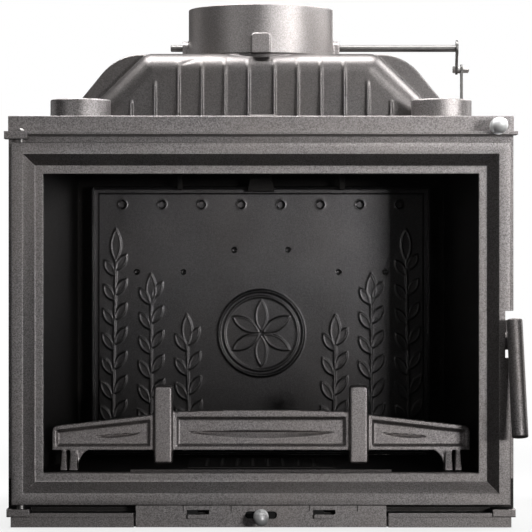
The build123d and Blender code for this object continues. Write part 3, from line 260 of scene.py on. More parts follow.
def steel(name, colour, roughness, streaks=(60.0, 60.0, 900.0), bump=0.00003, metallic=1.0):
    """Bright or dull steel with drawn streaks and fine scratches."""
    mat, nodes, links, shader = new_material(name)
    coords = nodes.new("ShaderNodeTexCoord").outputs["Object"]
    stretch = nodes.new("ShaderNodeMapping")
    stretch.inputs["Scale"].default_value = streaks
    links.new(coords, stretch.inputs["Vector"])
    drawn = noise_node(nodes, links, stretch.outputs["Vector"], 6.0, 4.0, 0.6)
    stain = noise_node(nodes, links, coords, 60.0, 4.0, 0.6)
    shade = ramp(nodes, links, drawn.outputs["Fac"], 0.3, 0.7, 0.0, 1.0)
    base = mixed(nodes, links, shade, tinted(colour, 0.82), tinted(colour, 1.12))
    dull = ramp(nodes, links, stain.outputs["Fac"], 0.5, 0.75, 0.0, 0.5)
    base = mixed(nodes, links, dull, base, tinted(colour, 0.6))
    links.new(base, shader.inputs["Base Color"])
    shader.inputs["Metallic"].default_value = metallic
    rough = ramp(nodes, links, drawn.outputs["Fac"], 0.3, 0.7, roughness * 0.8, roughness * 1.25)
    links.new(rough, shader.inputs["Roughness"])
    bumped = nodes.new("ShaderNodeBump")
    bumped.inputs["Strength"].default_value = 0.6
    bumped.inputs["Distance"].default_value = bump
    links.new(drawn.outputs["Fac"], bumped.inputs["Height"])
    links.new(bumped.outputs["Normal"], shader.inputs["Normal"])
    return mat


def glass(name):
    """Clear ceramic glass: see-through, with a soft reflection that grows at grazing angles."""
    mat, nodes, links, shader = new_material(name)
    coords = nodes.new("ShaderNodeTexCoord").outputs["Object"]
    haze = noise_node(nodes, links, coords, 7.0, 4.0, 0.6)
    smear = noise_node(nodes, links, coords, 40.0, 3.0, 0.6)
    clear = nodes.new("ShaderNodeBsdfTransparent")
    clear.inputs["Color"].default_value = (0.93, 0.928, 0.93, 1.0)
    gloss = nodes.new("ShaderNodeBsdfGlossy")
    gloss.inputs["Color"].default_value = (1.0, 1.0, 1.0, 1.0)
    rough = ramp(nodes, links, smear.outputs["Fac"], 0.3, 0.7, 0.03, 0.09)
    links.new(rough, gloss.inputs["Roughness"])
    fresnel = nodes.new("ShaderNodeFresnel")
    fresnel.inputs["IOR"].default_value = 1.45
    film = ramp(nodes, links, haze.outputs["Fac"], 0.35, 0.7, 0.85, 1.15)
    amount = math_node(nodes, links, "MULTIPLY", fresnel.outputs["Fac"], film)
    mix = nodes.new("ShaderNodeMixShader")
    links.new(amount, mix.inputs[0])
    links.new(clear.outputs[0], mix.inputs[1])
    links.new(gloss.outputs[0], mix.inputs[2])
    out = nodes["Material Output"]
    nodes.remove(shader)
    links.new(mix.outputs[0], out.inputs["Surface"])
    return mat


def rope_material(name):
    """Braided glass fibre: fuzzy pale grey strands."""
    mat, nodes, links, shader = new_material(name)
    coords = nodes.new("ShaderNodeTexCoord").outputs["Object"]
    fibre = noise_node(nodes, links, coords, 900.0, 3.0, 0.6)
    dirt = noise_node(nodes, links, coords, 30.0, 4.0, 0.6)
    tone = ramp(nodes, links, fibre.outputs["Fac"], 0.3, 0.7, 0.0, 1.0)
    base = mixed(nodes, links, tone, (0.10, 0.098, 0.092), (0.22, 0.215, 0.2))
    grime = ramp(nodes, links, dirt.outputs["Fac"], 0.45, 0.7, 0.0, 0.6)
    base = mixed(nodes, links, grime, base, (0.05, 0.048, 0.045))
    links.new(base, shader.inputs["Base Color"])
    shader.inputs["Roughness"].default_value = 0.95
    bumped = nodes.new("ShaderNodeBump")
    bumped.inputs["Distance"].default_value = 0.0003
    links.new(fibre.outputs["Fac"], bumped.inputs["Height"])
    links.new(bumped.outputs["Normal"], shader.inputs["Normal"])
    return mat


body_iron = iron("body_iron", (0.315, 0.297, 0.296), 0.475)
# plate_iron: its firebox inside darkened as soot and painted shade, the recess over the ledge as painted
# shade
plate_iron = iron("plate_iron", (0.275, 0.259, 0.258), 0.48, hearth=True)
# Hood iron darker than the body's: painted shade on the recessed hood
hood_iron_painted_shade = iron("hood_iron_painted_shade", (0.142, 0.134, 0.133), 0.42, grain=0.13, edge=1.0, bump=0.00013)
collar_iron = iron("collar_iron", (0.290, 0.274, 0.273), 0.46, grain=0.14, bump=0.00012)
grip_iron = iron("grip_iron", (0.285, 0.269, 0.268), 0.46, grain=0.26)
fire_iron = iron("fire_iron", (0.066, 0.063, 0.061), 0.5, metallic=0.8, grain=0.08, soot=0.2, edge=0.2)
# relief_iron: painted shade low on the fireback
relief_iron = iron(
    "relief_iron", (0.205, 0.200, 0.203), 0.36, grain=0.1, soot=0.06, edge=0.5, low_painted_shade=0.8
)
# Near-black steel for the air slider and its guides: painted shade in the air windows
painted_shade_steel = iron("painted_shade_steel", (0.02, 0.02, 0.02), 0.6, metallic=0.5, grain=0.1, edge=0.1)
# Guard iron lighter than the body's: painted light, standing in for light reaching it in the firebox
guard_iron_painted_light = iron("guard_iron_painted_light", (0.530, 0.500, 0.497), 0.45, edge=0.5)
dull_steel = steel("dull_steel", (0.17, 0.165, 0.16), 0.42)
bolt_steel = steel("bolt_steel", (0.36, 0.35, 0.34), 0.38, streaks=(200.0, 200.0, 200.0))
# Knob chrome made partly diffuse and near white: painted reflection of bright surroundings
chrome = steel(
    "knob_chrome", (0.95, 0.945, 0.945), 0.52, streaks=(12.0, 12.0, 12.0), bump=0.000002, metallic=0.55
)
clear_glass = glass("clear_glass")
seal_rope = rope_material("seal_rope")


# ---- Mesh helpers ----
LATHE_ANGLE = 40.0          # edges of turned pieces stay sharp beyond it, in degrees
BOX_FACES = ((0, 1, 3, 2), (4, 6, 7, 5), (0, 4, 5, 1), (2, 3, 7, 6), (0, 2, 6, 4), (1, 5, 7, 3))


def box_corners(lo, hi):
    """Corners in the order that BOX_FACES counts them."""
    return [Vector((a, b, c)) for a in (lo.x, hi.x) for b in (lo.y, hi.y) for c in (lo.z, hi.z)]


def outward(mesh):
    """Turns all faces outward."""
    bm = bmesh.new()
    bm.from_mesh(mesh)
    bmesh.ops.recalc_face_normals(bm, faces=bm.faces)
    bm.to_mesh(mesh)
    bm.free()
    return mesh


def shade(obj, angle):
    """Smooth shading with edges kept sharp beyond an angle, in degrees."""
    mesh = obj.data
    for face in mesh.polygons:
        face.use_smooth = True
    mesh.set_sharp_from_angle(angle=math.radians(angle))


def piece(name, verts, faces, mat, body, slot, *nodes, angle):
    """A new mesh piece on a body, in place of CAD nodes."""
    mesh = bpy.data.meshes.new(name)
    mesh.from_pydata([tuple(v) for v in verts], [], faces)
    mesh.validate()
    return placed(name, mesh, mat, body, slot, *nodes, angle=angle)


def placed(name, mesh, mat, body, slot, *nodes, angle):
    """A mesh as an object on a body, with its material, in place of CAD nodes; slot is not used."""
    obj = bpy.data.objects.new(name, mesh)
    bpy.context.collection.objects.link(obj)
    obj.data.materials.clear()
    obj.data.materials.append(mat)
    shade(obj, angle)
    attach(obj, body)
    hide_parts(*nodes)
    return obj


def evaluated(obj):
    """A new mesh with the object's modifiers applied."""
    graph = bpy.context.evaluated_depsgraph_get()
    return bpy.data.meshes.new_from_object(obj.evaluated_get(graph))


def scratch(mesh):
    obj = bpy.data.objects.new("scratch", mesh)
    bpy.context.collection.objects.link(obj)
    return obj


def cad_mesh(node):
    """A welded copy of a CAD node's mesh."""
    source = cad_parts[node].data
    bm = bmesh.new()
    bm.from_mesh(source)
    bmesh.ops.remove_doubles(bm, verts=bm.verts, dist=WELD)
    bmesh.ops.recalc_face_normals(bm, faces=bm.faces)
    mesh = bpy.data.meshes.new(node + "_copy")
    bm.to_mesh(mesh)
    bm.free()
    return mesh


def cast_mesh(mesh, voxel, keep=1.0):
    """Melts a mesh's corners the way a sand casting's are: voxel remesh, then smoothing."""
    obj = scratch(mesh)
    melt = obj.modifiers.new("melt", "REMESH")
    melt.mode = "VOXEL"
    melt.voxel_size = voxel * MM
    soft = obj.modifiers.new("soft", "SMOOTH")
    soft.factor = 0.5
    soft.iterations = 3
    if keep < 1.0:
        thin = obj.modifiers.new("thin", "DECIMATE")
        thin.ratio = keep
    result = evaluated(obj)
    bpy.data.objects.remove(obj)
    return result


def lathe(name, profile, origin, axis, mat, body, slot, *nodes, steps):
    """Turns a profile of (radius, distance along the axis) pairs in millimetres."""
    axis = Vector(axis).normalized()
    side = axis.orthogonal().normalized()
    up = axis.cross(side)
    verts = []
    for radius, along in profile:
        for step in range(steps):
            turn = 2 * math.pi * step / steps
            out = side * math.cos(turn) + up * math.sin(turn)
            verts.append(origin + (axis * along + out * radius) * MM)
    faces = []
    rows = len(profile)
    for row in range(rows):
        nxt = (row + 1) % rows
        for step in range(steps):
            other = (step + 1) % steps
            here, there = row * steps, nxt * steps
            faces.append((here + step, here + other, there + other, there + step))
    obj = piece(name, verts, faces, mat, body, slot, *nodes, angle=LATHE_ANGLE)
    bm = bmesh.new()
    bm.from_mesh(obj.data)
    bmesh.ops.remove_doubles(bm, verts=bm.verts, dist=0.000005)
    bmesh.ops.dissolve_degenerate(bm, edges=bm.edges, dist=WELD)
    bmesh.ops.recalc_face_normals(bm, faces=bm.faces)
    bm.to_mesh(obj.data)
    bm.free()
    shade(obj, LATHE_ANGLE)


def coated(node, mat):
    """A CAD node with a better material."""
    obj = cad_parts[node]
    obj.data.materials.clear()
    obj.data.materials.append(mat)
    return obj


def rounded_arrises(obj, width):
    """Bevel modifier, its width in millimetres."""
    bevel = obj.modifiers.new("arris", "BEVEL")
    bevel.width = width * MM
    bevel.segments = 2
    bevel.limit_method = "ANGLE"
    bevel.angle_limit = math.radians(30)
    return bevel


def softened(node, width, mat):
    """A CAD node that keeps its shape and gets rounded arrises."""
    obj = coated(node, mat)
    weld = obj.modifiers.new("weld", "WELD")
    weld.merge_threshold = WELD
    flat = obj.modifiers.new("flat", "DECIMATE")
    flat.decimate_type = "DISSOLVE"
    flat.angle_limit = math.radians(1.0)
    rounded_arrises(obj, width).harden_normals = True


# ---- Carried-over castings ----
for node in ("base_casting", "top_plate"):
    softened(node, 0.8, plate_iron)
softened("front_frame", 0.6, plate_iron)
softened("air_cover", 0.6, body_iron)
for node in ("left_wall", "right_wall", "rear_wall"):
    softened(node, 1.2, plate_iron)
for node in ("left_liner", "right_liner", "baffle_plate"):
    softened(node, 1.0, fire_iron)
softened("floor_grate", 0.5, fire_iron)
for node in ("ash_pan", "damper_plate"):
    coated(node, fire_iron)
# Air slider and its guides in near-black: painted shade behind the air windows
for node in ("air_slider", "slider_guides"):
    coated(node, painted_shade_steel)
for node in ("damper_shaft", "control_rod"):
    coated(node, dull_steel)
for node in ("damper_crank", "control_link"):
    softened(node, 0.4, dull_steel)
for node in (
    "tie_rods", "cover_studs", "hinge_washer", "top_hinge_pin", "bottom_hinge_pin",
    "crank_bolt", "crank_nut", "handle_pivot", "glass_clips", "clip_screws", "hood_bolts", "tie_nuts",
):
    coated(node, bolt_steel)
coated("door_glass", clear_glass)
coated("glass_gasket", seal_rope)
coated("stub_caps", plate_iron)
softened("handle_lever", 0.8, body_iron)

# ---- Hood and collar, melted into castings ----
hood_mesh = cast_mesh(cad_mesh("smoke_hood"), 1.05, 0.5)
placed("hood_casting", hood_mesh, hood_iron_painted_shade, "root", "body_iron", "smoke_hood", angle=60)
collar_mesh = cast_mesh(cad_mesh("flue_collar"), 0.9, 0.5)
placed("collar_casting", collar_mesh, collar_iron, "root", "body_iron", "flue_collar", angle=60)


# ---- Door frame: one closed profile carried round four mitred corners ----
DOOR_HALF = 312.4               # half its width, then the heights of its lower and upper edge
DOOR_LOW = 28.0
DOOR_TOP = 482.0


def arc(centre, radius, first, last, steps):
    """Points of an arc in (inset, depth), angles in degrees from +inset towards +depth."""
    points = []
    for step in range(steps + 1):
        turn = math.radians(first + (last - first) * step / steps)
        points.append((centre[0] + radius * math.cos(turn), centre[1] + radius * math.sin(turn)))
    return points


door_profile = (
    [(0.0, 24.5), (0.0, 13.0)]
    + arc((0.9, 0.9), 0.9, 180, 270, 4)
    + [(7.0, 0.0), (14.1, 0.0), (14.5, 0.12), (14.85, 0.4)]
    + [(21.5, 7.0), (27.7, 13.2), (28.15, 13.6), (28.8, 13.95), (29.6, 14.0)]
    + [(34.0, 14.0)]
    + arc((38.0, 15.0), 1.0, 270, 360, 3)
    + [(39.0, 19.0), (29.5, 19.0), (29.5, 24.5), (21.0, 24.5), (21.0, 19.5), (13.0, 19.5), (13.0, 24.5)]
)


def door_ring_mesh(profile):
    """Ring of a profile of (inset, depth) pairs around the door, mitred at its corners."""
    verts, faces = [], []
    corners = ((-1, 0), (1, 0), (1, 1), (-1, 1))
    count = len(profile)
    for index, (side, top) in enumerate(corners):
        other = (index + 1) % len(corners)
        for row, (inset, depth) in enumerate(profile):
            verts.append(at(side * (DOOR_HALF - inset), depth, DOOR_TOP - inset if top else DOOR_LOW + inset))
            nxt = (row + 1) % count
            here, there = index * count, other * count
            faces.append((here + row, there + row, there + nxt, here + nxt))
    mesh = bpy.data.meshes.new("door_ring")
    mesh.from_pydata([tuple(v) for v in verts], [], faces)
    return outward(mesh)


def box_mesh(x, depth, z):
    mesh = bpy.data.meshes.new("box")
    corners = box_corners(at(x[0], depth[0], z[0]), at(x[1], depth[1], z[1]))
    mesh.from_pydata([tuple(corner) for corner in corners], [], BOX_FACES)
    return mesh


def prism_mesh(points, x0, x1):
    """Prism between two values across of an outline in (depth, z)."""
    count = len(points)
    verts = [tuple(at(x, depth, z)) for x in (x0, x1) for depth, z in points]
    faces = [tuple(range(count)), tuple(range(2 * count - 1, count - 1, -1))]
    faces += [(i, (i + 1) % count, count + (i + 1) % count, count + i) for i in range(count)]
    mesh = bpy.data.meshes.new("prism")
    mesh.from_pydata(verts, [], faces)
    return outward(mesh)


def combined(mesh, tools):
    """Mesh with tools applied in order: (operation, mesh)."""
    obj = scratch(mesh)
    helpers = []
    for operation, tool in tools:
        helper = scratch(tool)
        helpers.append(helper)
        change = obj.modifiers.new("change", "BOOLEAN")
        change.operation = operation
        change.solver = "EXACT"
        change.object = helper
    result = evaluated(obj)
    for helper in helpers:
        bpy.data.objects.remove(helper)
    bpy.data.objects.remove(obj)
    return result


def rounded_mesh(mesh, width):
    obj = scratch(mesh)
    rounded_arrises(obj, width)
    result = evaluated(obj)
    bpy.data.objects.remove(obj)
    return result


# Handle boss in the notch of the door's right edge: a half round over a foot
PIVOT = (8.0, 236.0)            # depth and height
NOTCH_X = 305.5
NOTCH = (212.0, 271.0)          # from its foot to its top
BOSS_RADIUS = 8.0
BOSS_FOOT = (4.8, 13.6)         # half depth, and drop under the pivot
BOSS_END = 311.6
boss = []
for turn in range(0, 181, 12):
    rise = math.radians(turn)
    boss.append((PIVOT[0] + BOSS_RADIUS * math.cos(rise), PIVOT[1] + BOSS_RADIUS * math.sin(rise)))
boss += [(PIVOT[0] + side * BOSS_FOOT[0], PIVOT[1] - BOSS_FOOT[1]) for side in (-1, 1)]
boss_mesh = rounded_mesh(prism_mesh(boss, NOTCH_X - 2.0, BOSS_END), 0.5)
door_mesh = combined(
    door_ring_mesh(door_profile),
    [("DIFFERENCE", box_mesh((NOTCH_X, 320.0), (-3.0, 30.0), NOTCH)), ("UNION", boss_mesh)],
)
placed("door_casting", door_mesh, body_iron, "door", "body_iron", "door_frame", angle=28)

# ---- Fireback: cast relief of leaf sprays and a plain rosette ----
FIREBACK_HALF = 233.0
FIREBACK_LOW = 67.0
FIREBACK_HIGH = 438.0
FIREBACK_DEPTH = 330.0
FIREBACK_THICK = 10.0
FIREBACK_ROUND = 7.0
FIREBACK_RIM = 3.0
GROOVE = (3.6, 10.8, 6.0)       # border groove: from and to, inside the edge, and its depth
SPACERS = (183.0, 213.0)        # from and to, across, on either side
SPACER_REAR = 364.0
SPACER_HEIGHTS = (87.0, 418.0)
VENTS = [(side * 54.3 * (index + 0.5), 412.7) for side in (-1, 1) for index in range(4)]
VENT_RADIUS = 5.5
BOLT_RADIUS = 3.5
# Leaf sprays: foot across, foot's height, length and lean outwards in degrees
SPRAYS = ((204.0, 95.0, 262.0, -1), (151.0, 90.0, 206.0, 0), (99.0, 94.0, 146.0, 1))
LEAF_PITCH = 34.0
LEAF_TURN = 33.0
ROSETTE_Z = 236.0
BOLT_HOLES = [(side * x, z) for side in (-1, 1) for x, z in ((36.7, 350.3), (106.3, 320.1), (170.7, 320.1))]


def leaf(x, z, cx, cz, length, width, turn):
    """Signed distance to a pointed leaf: negative inside."""
    angle = math.radians(turn)
    dx, dz = x - cx, z - cz
    along = dx * math.sin(angle) + dz * math.cos(angle)
    across = dx * math.cos(angle) - dz * math.sin(angle)
    half, wide = length / 2, width / 2
    radius = (half * half + wide * wide) / (2 * wide)
    return np.sqrt(along**2 + (np.abs(across) + radius - wide) ** 2) - radius


def ridge(distance, width, height):
    return height * np.exp(-((distance / width) ** 2))


def segment(x, z, x0, z0, x1, z1):
    """Distance to a straight line between two points."""
    dx, dz = x1 - x0, z1 - z0
    share = np.clip(((x - x0) * dx + (z - z0) * dz) / (dx * dx + dz * dz), 0, 1)
    return np.hypot(x - x0 - share * dx, z - z0 - share * dz)


def leaf_relief(outline):
    """A leaf: raised rim with crisp sides and a blade a little lower."""
    blade = 1.0 / (1 + np.exp(np.clip(outline / 0.45, -50.0, 50.0)))
    return 0.75 * blade + ridge(outline + 1.2, 0.9, 0.5)


def spray_relief(x, z, side):
    """One side's leaf sprays: a stem, a leaf at its tip and pairs of leaves that get smaller."""
    height = np.zeros_like(x)
    for foot, low, tall, lean in SPRAYS:
        foot, lean = side * foot, side * lean
        tilt = math.tan(math.radians(lean))
        top = low + tall
        tip = foot + tilt * tall
        height = np.maximum(height, ridge(segment(x, z, foot, low, tip, top - 22), 1.5, 1.3))
        height = np.maximum(height, leaf_relief(leaf(x, z, tip, top, 46.0, 15.0, lean)))
        for index in range(int(tall / LEAF_PITCH)):
            rise = low + 18 + index * LEAF_PITCH
            here = foot + tilt * (rise - low)
            size = 32.0 - 0.9 * index
            for hand in (-1, 1):
                turn = lean + hand * LEAF_TURN
                cx = here + math.sin(math.radians(turn)) * size * 0.56
                cz = rise + math.cos(math.radians(turn)) * size * 0.56 + hand * 4.0
                height = np.maximum(height, leaf_relief(leaf(x, z, cx, cz, size, 12.0, turn)))
    return height


def rosette_relief(x, z):
    """Six petals in two rings."""
    height = np.zeros_like(x)
    radius = np.hypot(x, z - ROSETTE_Z)
    for ring, rise in ((58.0, 1.9), (50.5, 1.2)):
        height = np.maximum(height, ridge(radius - ring, 1.8, rise))
    for turn in range(0, 360, 60):
        px = math.sin(math.radians(turn)) * 24.0
        pz = ROSETTE_Z + math.cos(math.radians(turn)) * 24.0
        height = np.maximum(height, leaf_relief(leaf(x, z, px, pz, 44.0, 17.0, turn)))
    return height


def fireback_relief(x, z):
    height = np.maximum(spray_relief(x, z, -1), spray_relief(x, z, 1))
    height = np.maximum(height, rosette_relief(x, z))
    for vx, vz in VENTS:
        away = np.hypot(x - vx, z - vz)
        height = np.maximum(height, ridge(away - 6.3, 0.8, 0.5))
    return height


def rounded_corners(x, z):
    """Pulls the grid's corner points onto rounded corners."""
    reach = FIREBACK_HALF - FIREBACK_ROUND
    low, high = FIREBACK_LOW + FIREBACK_ROUND, FIREBACK_HIGH - FIREBACK_ROUND
    cx = np.clip(x, -reach, reach)
    cz = np.clip(z, low, high)
    away = np.hypot(x - cx, z - cz)
    corner = (np.abs(x) > reach) & ((z < low) | (z > high)) & (away > FIREBACK_ROUND)
    pull = np.where(corner, FIREBACK_ROUND / np.maximum(away, 1e-6), 1.0)
    return np.where(corner, cx + (x - cx) * pull, x), np.where(corner, cz + (z - cz) * pull, z)


def fireback_front(x, z, wave):
    """Depth of the plate's front: relief, casting's wave, rim, border groove and holes."""
    edge = np.minimum(FIREBACK_HALF - np.abs(x), np.minimum(z - FIREBACK_LOW, FIREBACK_HIGH - z))
    rim = np.clip(1 - edge / FIREBACK_RIM, 0, 1)
    near, far, sink = GROOVE
    groove = np.clip((edge - near) / 0.9, 0, 1) * np.clip((far - edge) / 0.9, 0, 1)
    holes = np.zeros_like(x)
    for places, radius in ((VENTS, VENT_RADIUS), (BOLT_HOLES, BOLT_RADIUS)):
        for cx, cz in places:
            holes = np.maximum(holes, np.clip((radius - np.hypot(x - cx, z - cz)) / 0.7, 0, 1))
    front = FIREBACK_DEPTH - fireback_relief(x, z) - wave * (edge > 4)
    return front + 2.0 * rim**2 + sink * groove + (FIREBACK_THICK - 0.5) * holes


def fireback_mesh():
    step = 0.95
    xs = np.linspace(-FIREBACK_HALF, FIREBACK_HALF, int(2 * FIREBACK_HALF / step) + 1)
    zs = np.linspace(FIREBACK_LOW, FIREBACK_HIGH, int((FIREBACK_HIGH - FIREBACK_LOW) / step) + 1)
    x, z = np.meshgrid(xs, zs)
    wave = 0.25 * np.array([[noise.noise(Vector((a * 0.02, 3.1, b * 0.02))) for a in xs] for b in zs])
    front = fireback_front(x, z, wave)
    x, z = rounded_corners(x, z)
    rows, cols = x.shape
    verts = [at(x[r, c], front[r, c], z[r, c]) for r in range(rows) for c in range(cols)]
    faces = [
        (r * cols + c, r * cols + c + 1, (r + 1) * cols + c + 1, (r + 1) * cols + c)
        for r in range(rows - 1)
        for c in range(cols - 1)
    ]
    loop = list(range(cols))
    loop += [r * cols + cols - 1 for r in range(1, rows)]
    loop += [(rows - 1) * cols + c for c in range(cols - 2, -1, -1)]
    loop += [r * cols for r in range(rows - 2, 0, -1)]
    start = len(verts)
    rear = FIREBACK_DEPTH + FIREBACK_THICK
    verts += [Vector((verts[index].x, (rear - SETBACK) * MM, verts[index].z)) for index in loop]
    count = len(loop)
    for index in range(count):
        other = (index + 1) % count
        faces.append((loop[index], start + index, start + other, loop[other]))
    faces.append(tuple(start + index for index in range(count)))
    for side in (-1, 1):
        near, far = sorted(side * x for x in SPACERS)
        base = len(verts)
        verts += box_corners(at(near, rear, SPACER_HEIGHTS[0]), at(far, SPACER_REAR, SPACER_HEIGHTS[1]))
        faces += [tuple(base + corner for corner in face) for face in BOX_FACES]
    return verts, faces


verts, faces = fireback_mesh()
piece("fireback_casting", verts, faces, relief_iron, "root", "fire_iron", "fireback", angle=50)

# ---- Log guard, melted, with sunk lens grooves in its panels ----
GUARD_REACH = 77.0              # nothing behind this depth is carved
CARVE_BAND = (93.0, 140.0)      # heights between which the grooves lie
CARVE_DEPTH = 3.2
CARVE_STEEP = 0.22              # share of a groove's height taken by its upper side
# Each groove: its two ends in (x, z), and its swell over and under the line between them
GROOVES = (
    ((-213.2, 109.6), (-153.8, 114.1), 0.6, 3.6),
    ((-94.5, 114.9), (94.5, 114.9), 2.2, 8.0),
    ((153.8, 114.1), (213.2, 109.6), 0.6, 3.6),
)


def carved(x, z):
    """Depth in millimetres carved away at a place on the guard's front."""
    depth = 0.0
    for (x0, z0), (x1, z1), above, below in GROOVES:
        share = (x - x0) / (x1 - x0)
        swell = 4 * share * (1 - share)
        if swell <= 0:
            continue
        line = z0 + (z1 - z0) * share
        down = (line + above * swell - z) / ((above + below) * swell)
        if 0 < down < 1:
            depth += CARVE_DEPTH * min(1.0, down / CARVE_STEEP) * (1 - down) * min(1.0, swell * 3)
    return depth


guard_mesh = cast_mesh(cad_mesh("log_guard"), 0.9)
for vertex in guard_mesh.vertices:
    x, depth, z = vertex.co.x / MM, vertex.co.y / MM + SETBACK, vertex.co.z / MM
    if depth <= GUARD_REACH and CARVE_BAND[0] < z < CARVE_BAND[1]:
        vertex.co.y += carved(x, z) * MM
placed("log_guard_casting", guard_mesh, guard_iron_painted_light, "root", "fire_iron", "log_guard", angle=60)

# ---- Turned pieces ----
FORWARD = (0, -1, 0)


def ball_profile(ball, stem, reach, ring, ring_at, tail):
    """Knob from its tail to its tip, distances measured forward from the door's face."""
    points = [(0.0, tail), (stem, tail)]
    points += [(stem, max(ring_at - 1.0, tail + 0.01))]
    points += [(ring - 0.6, ring_at), (ring, ring_at + 0.5)]
    points += [(ring, ring_at + 1.5), (ring - 0.6, ring_at + 2.0)]
    points += [(stem + 1.6, ring_at + 2.0), (stem + 0.3, ring_at + 3.0), (stem, ring_at + 4.2)]
    neck = math.acos((stem + 0.9) / ball)
    points += [(stem, reach - ball * math.sin(neck) - 1.4), (stem + 0.9, reach - ball * math.sin(neck))]
    for step in range(1, 29):
        turn = -neck + (math.pi / 2 + neck) * step / 28
        points.append((max(0.0, ball * math.cos(turn)), reach + ball * math.sin(turn)))
    return points


SLIDER_KNOB = ball_profile(9.0, 3.0, 31.0, 9.6, 0.0, -5.3)
CONTROL_KNOB = ball_profile(10.0, 3.0, 26.0, 11.0, 1.0, 1.0)
lathe(
    "slider_knob_turned", SLIDER_KNOB, at(0, 0, 13.9), FORWARD, chrome,
    "air_control", "knob_chrome", "slider_knob", steps=72,
)
lathe(
    "control_knob_turned", CONTROL_KNOB, at(296.8, 0, 502.1), FORWARD, chrome,
    "control", "knob_chrome", "control_knob", steps=72,
)

# Grip: a bar between two places, a little thicker at its lower end
grip_top, grip_low = at(314.5, -27.0, 261.0), at(318.6, -57.5, 116.0)
grip_long = (grip_low - grip_top).length / MM
grip_profile = [(0.0, 0.0), (7.6, 0.0), (8.9, 0.35), (9.55, 1.1), (9.8, 2.2)]
grip_profile += [(9.8 + 0.5 * step / 12, 2.2 + (grip_long - 4.4) * step / 12) for step in range(1, 12)]
grip_profile += [(10.3, grip_long - 2.2), (10.05, grip_long - 1.1), (9.4, grip_long - 0.35)]
grip_profile += [(8.2, grip_long), (0.0, grip_long)]
lathe(
    "grip_turned", grip_profile, grip_top, grip_low - grip_top, grip_iron,
    "handle", "body_iron", "handle_grip", steps=72,
)

STUB_X = 230.0
STUB_DEPTH = 69.0
TOP_PLATE = 496.0
stub_profile = [(38.5, 0.0), (38.5, 40.6), (38.35, 41.7), (37.9, 42.6), (37.1, 43.0)]
stub_profile += [(33.8, 43.0), (33.0, 42.6), (32.5, 41.6), (32.5, 0.0)]
for name, x in (("left_stub", -STUB_X), ("right_stub", STUB_X)):
    foot = at(x, STUB_DEPTH, TOP_PLATE)
    lathe(name + "_turned", stub_profile, foot, (0, 0, 1), body_iron, "root", "body_iron", name, steps=96)

# ---- Rope seal: three strands laid round the door's groove ----
ROPE_INSET = 17.0
ROPE_DEPTH = 24.6
STRAND_WIDE = 3.7
STRAND_DEEP = 5.0
ROPE_PITCH = 17.0
ROPE_CORNER = 6.0
STRAND_SIDES = 8


def rope_path():
    """Closed centre line with rounded corners, in (x, z)."""
    half, low, high = DOOR_HALF - ROPE_INSET, DOOR_LOW + ROPE_INSET, DOOR_TOP - ROPE_INSET
    points = []
    for cx, cz, first in ((half, low, -90), (half, high, 0), (-half, high, 90), (-half, low, 180)):
        mx = cx - math.copysign(ROPE_CORNER, cx)
        mz = cz + ROPE_CORNER if cz == low else cz - ROPE_CORNER
        for step in range(7):
            angle = math.radians(first + 15 * step)
            points.append(Vector((mx + ROPE_CORNER * math.cos(angle), 0, mz + ROPE_CORNER * math.sin(angle))))
    return points


def resampled(points, spacing):
    """Evenly spaced centres and directions along a closed line, and its length."""
    runs = [(points[(i + 1) % len(points)] - points[i]).length for i in range(len(points))]
    total = sum(runs)
    samples = int(total / spacing)
    centres, tangents = [], []
    index, done = 0, 0.0
    for step in range(samples):
        target = total * step / samples
        while done + runs[index] < target:
            done += runs[index]
            index += 1
        a, b = points[index], points[(index + 1) % len(points)]
        centres.append(a.lerp(b, (target - done) / runs[index]))
        tangents.append((b - a).normalized())
    return centres, tangents, total


def rope_mesh():
    """Three strands twisted round the centre line."""
    centres, tangents, total = resampled(rope_path(), 2.2)
    samples = len(centres)
    turns = round(total / ROPE_PITCH)
    verts, faces = [], []
    for strand in range(3):
        start = len(verts)
        for step in range(samples):
            phase = 2 * math.pi * (turns * step / samples + strand / 3)
            across = Vector((tangents[step].z, 0, -tangents[step].x)) * STRAND_WIDE * 0.5
            along = Vector((0, STRAND_DEEP * 0.5, 0))
            middle = centres[step] + across * math.cos(phase) + along * math.sin(phase)
            for side in range(STRAND_SIDES):
                angle = 2 * math.pi * side / STRAND_SIDES
                place = middle + across * math.cos(angle) + along * math.sin(angle)
                verts.append(at(place.x, ROPE_DEPTH + place.y, place.z))
        for step in range(samples):
            here, there = (start + row % samples * STRAND_SIDES for row in (step, step + 1))
            for side in range(STRAND_SIDES):
                nxt = (side + 1) % STRAND_SIDES
                faces.append((here + side, there + side, there + nxt, here + nxt))
    return verts, faces


verts, faces = rope_mesh()
piece("rope_strands", verts, faces, seal_rope, "door", "seal_rope", "door_rope_seal", angle=80)

# ---- Floor, world and lamps ----
FLOOR_HALF = 6.0
FLOOR_GREY = 0.85
FLOOR_DIM = 0.006               # what the part itself sees of the floor
AMBIENT = 0.005


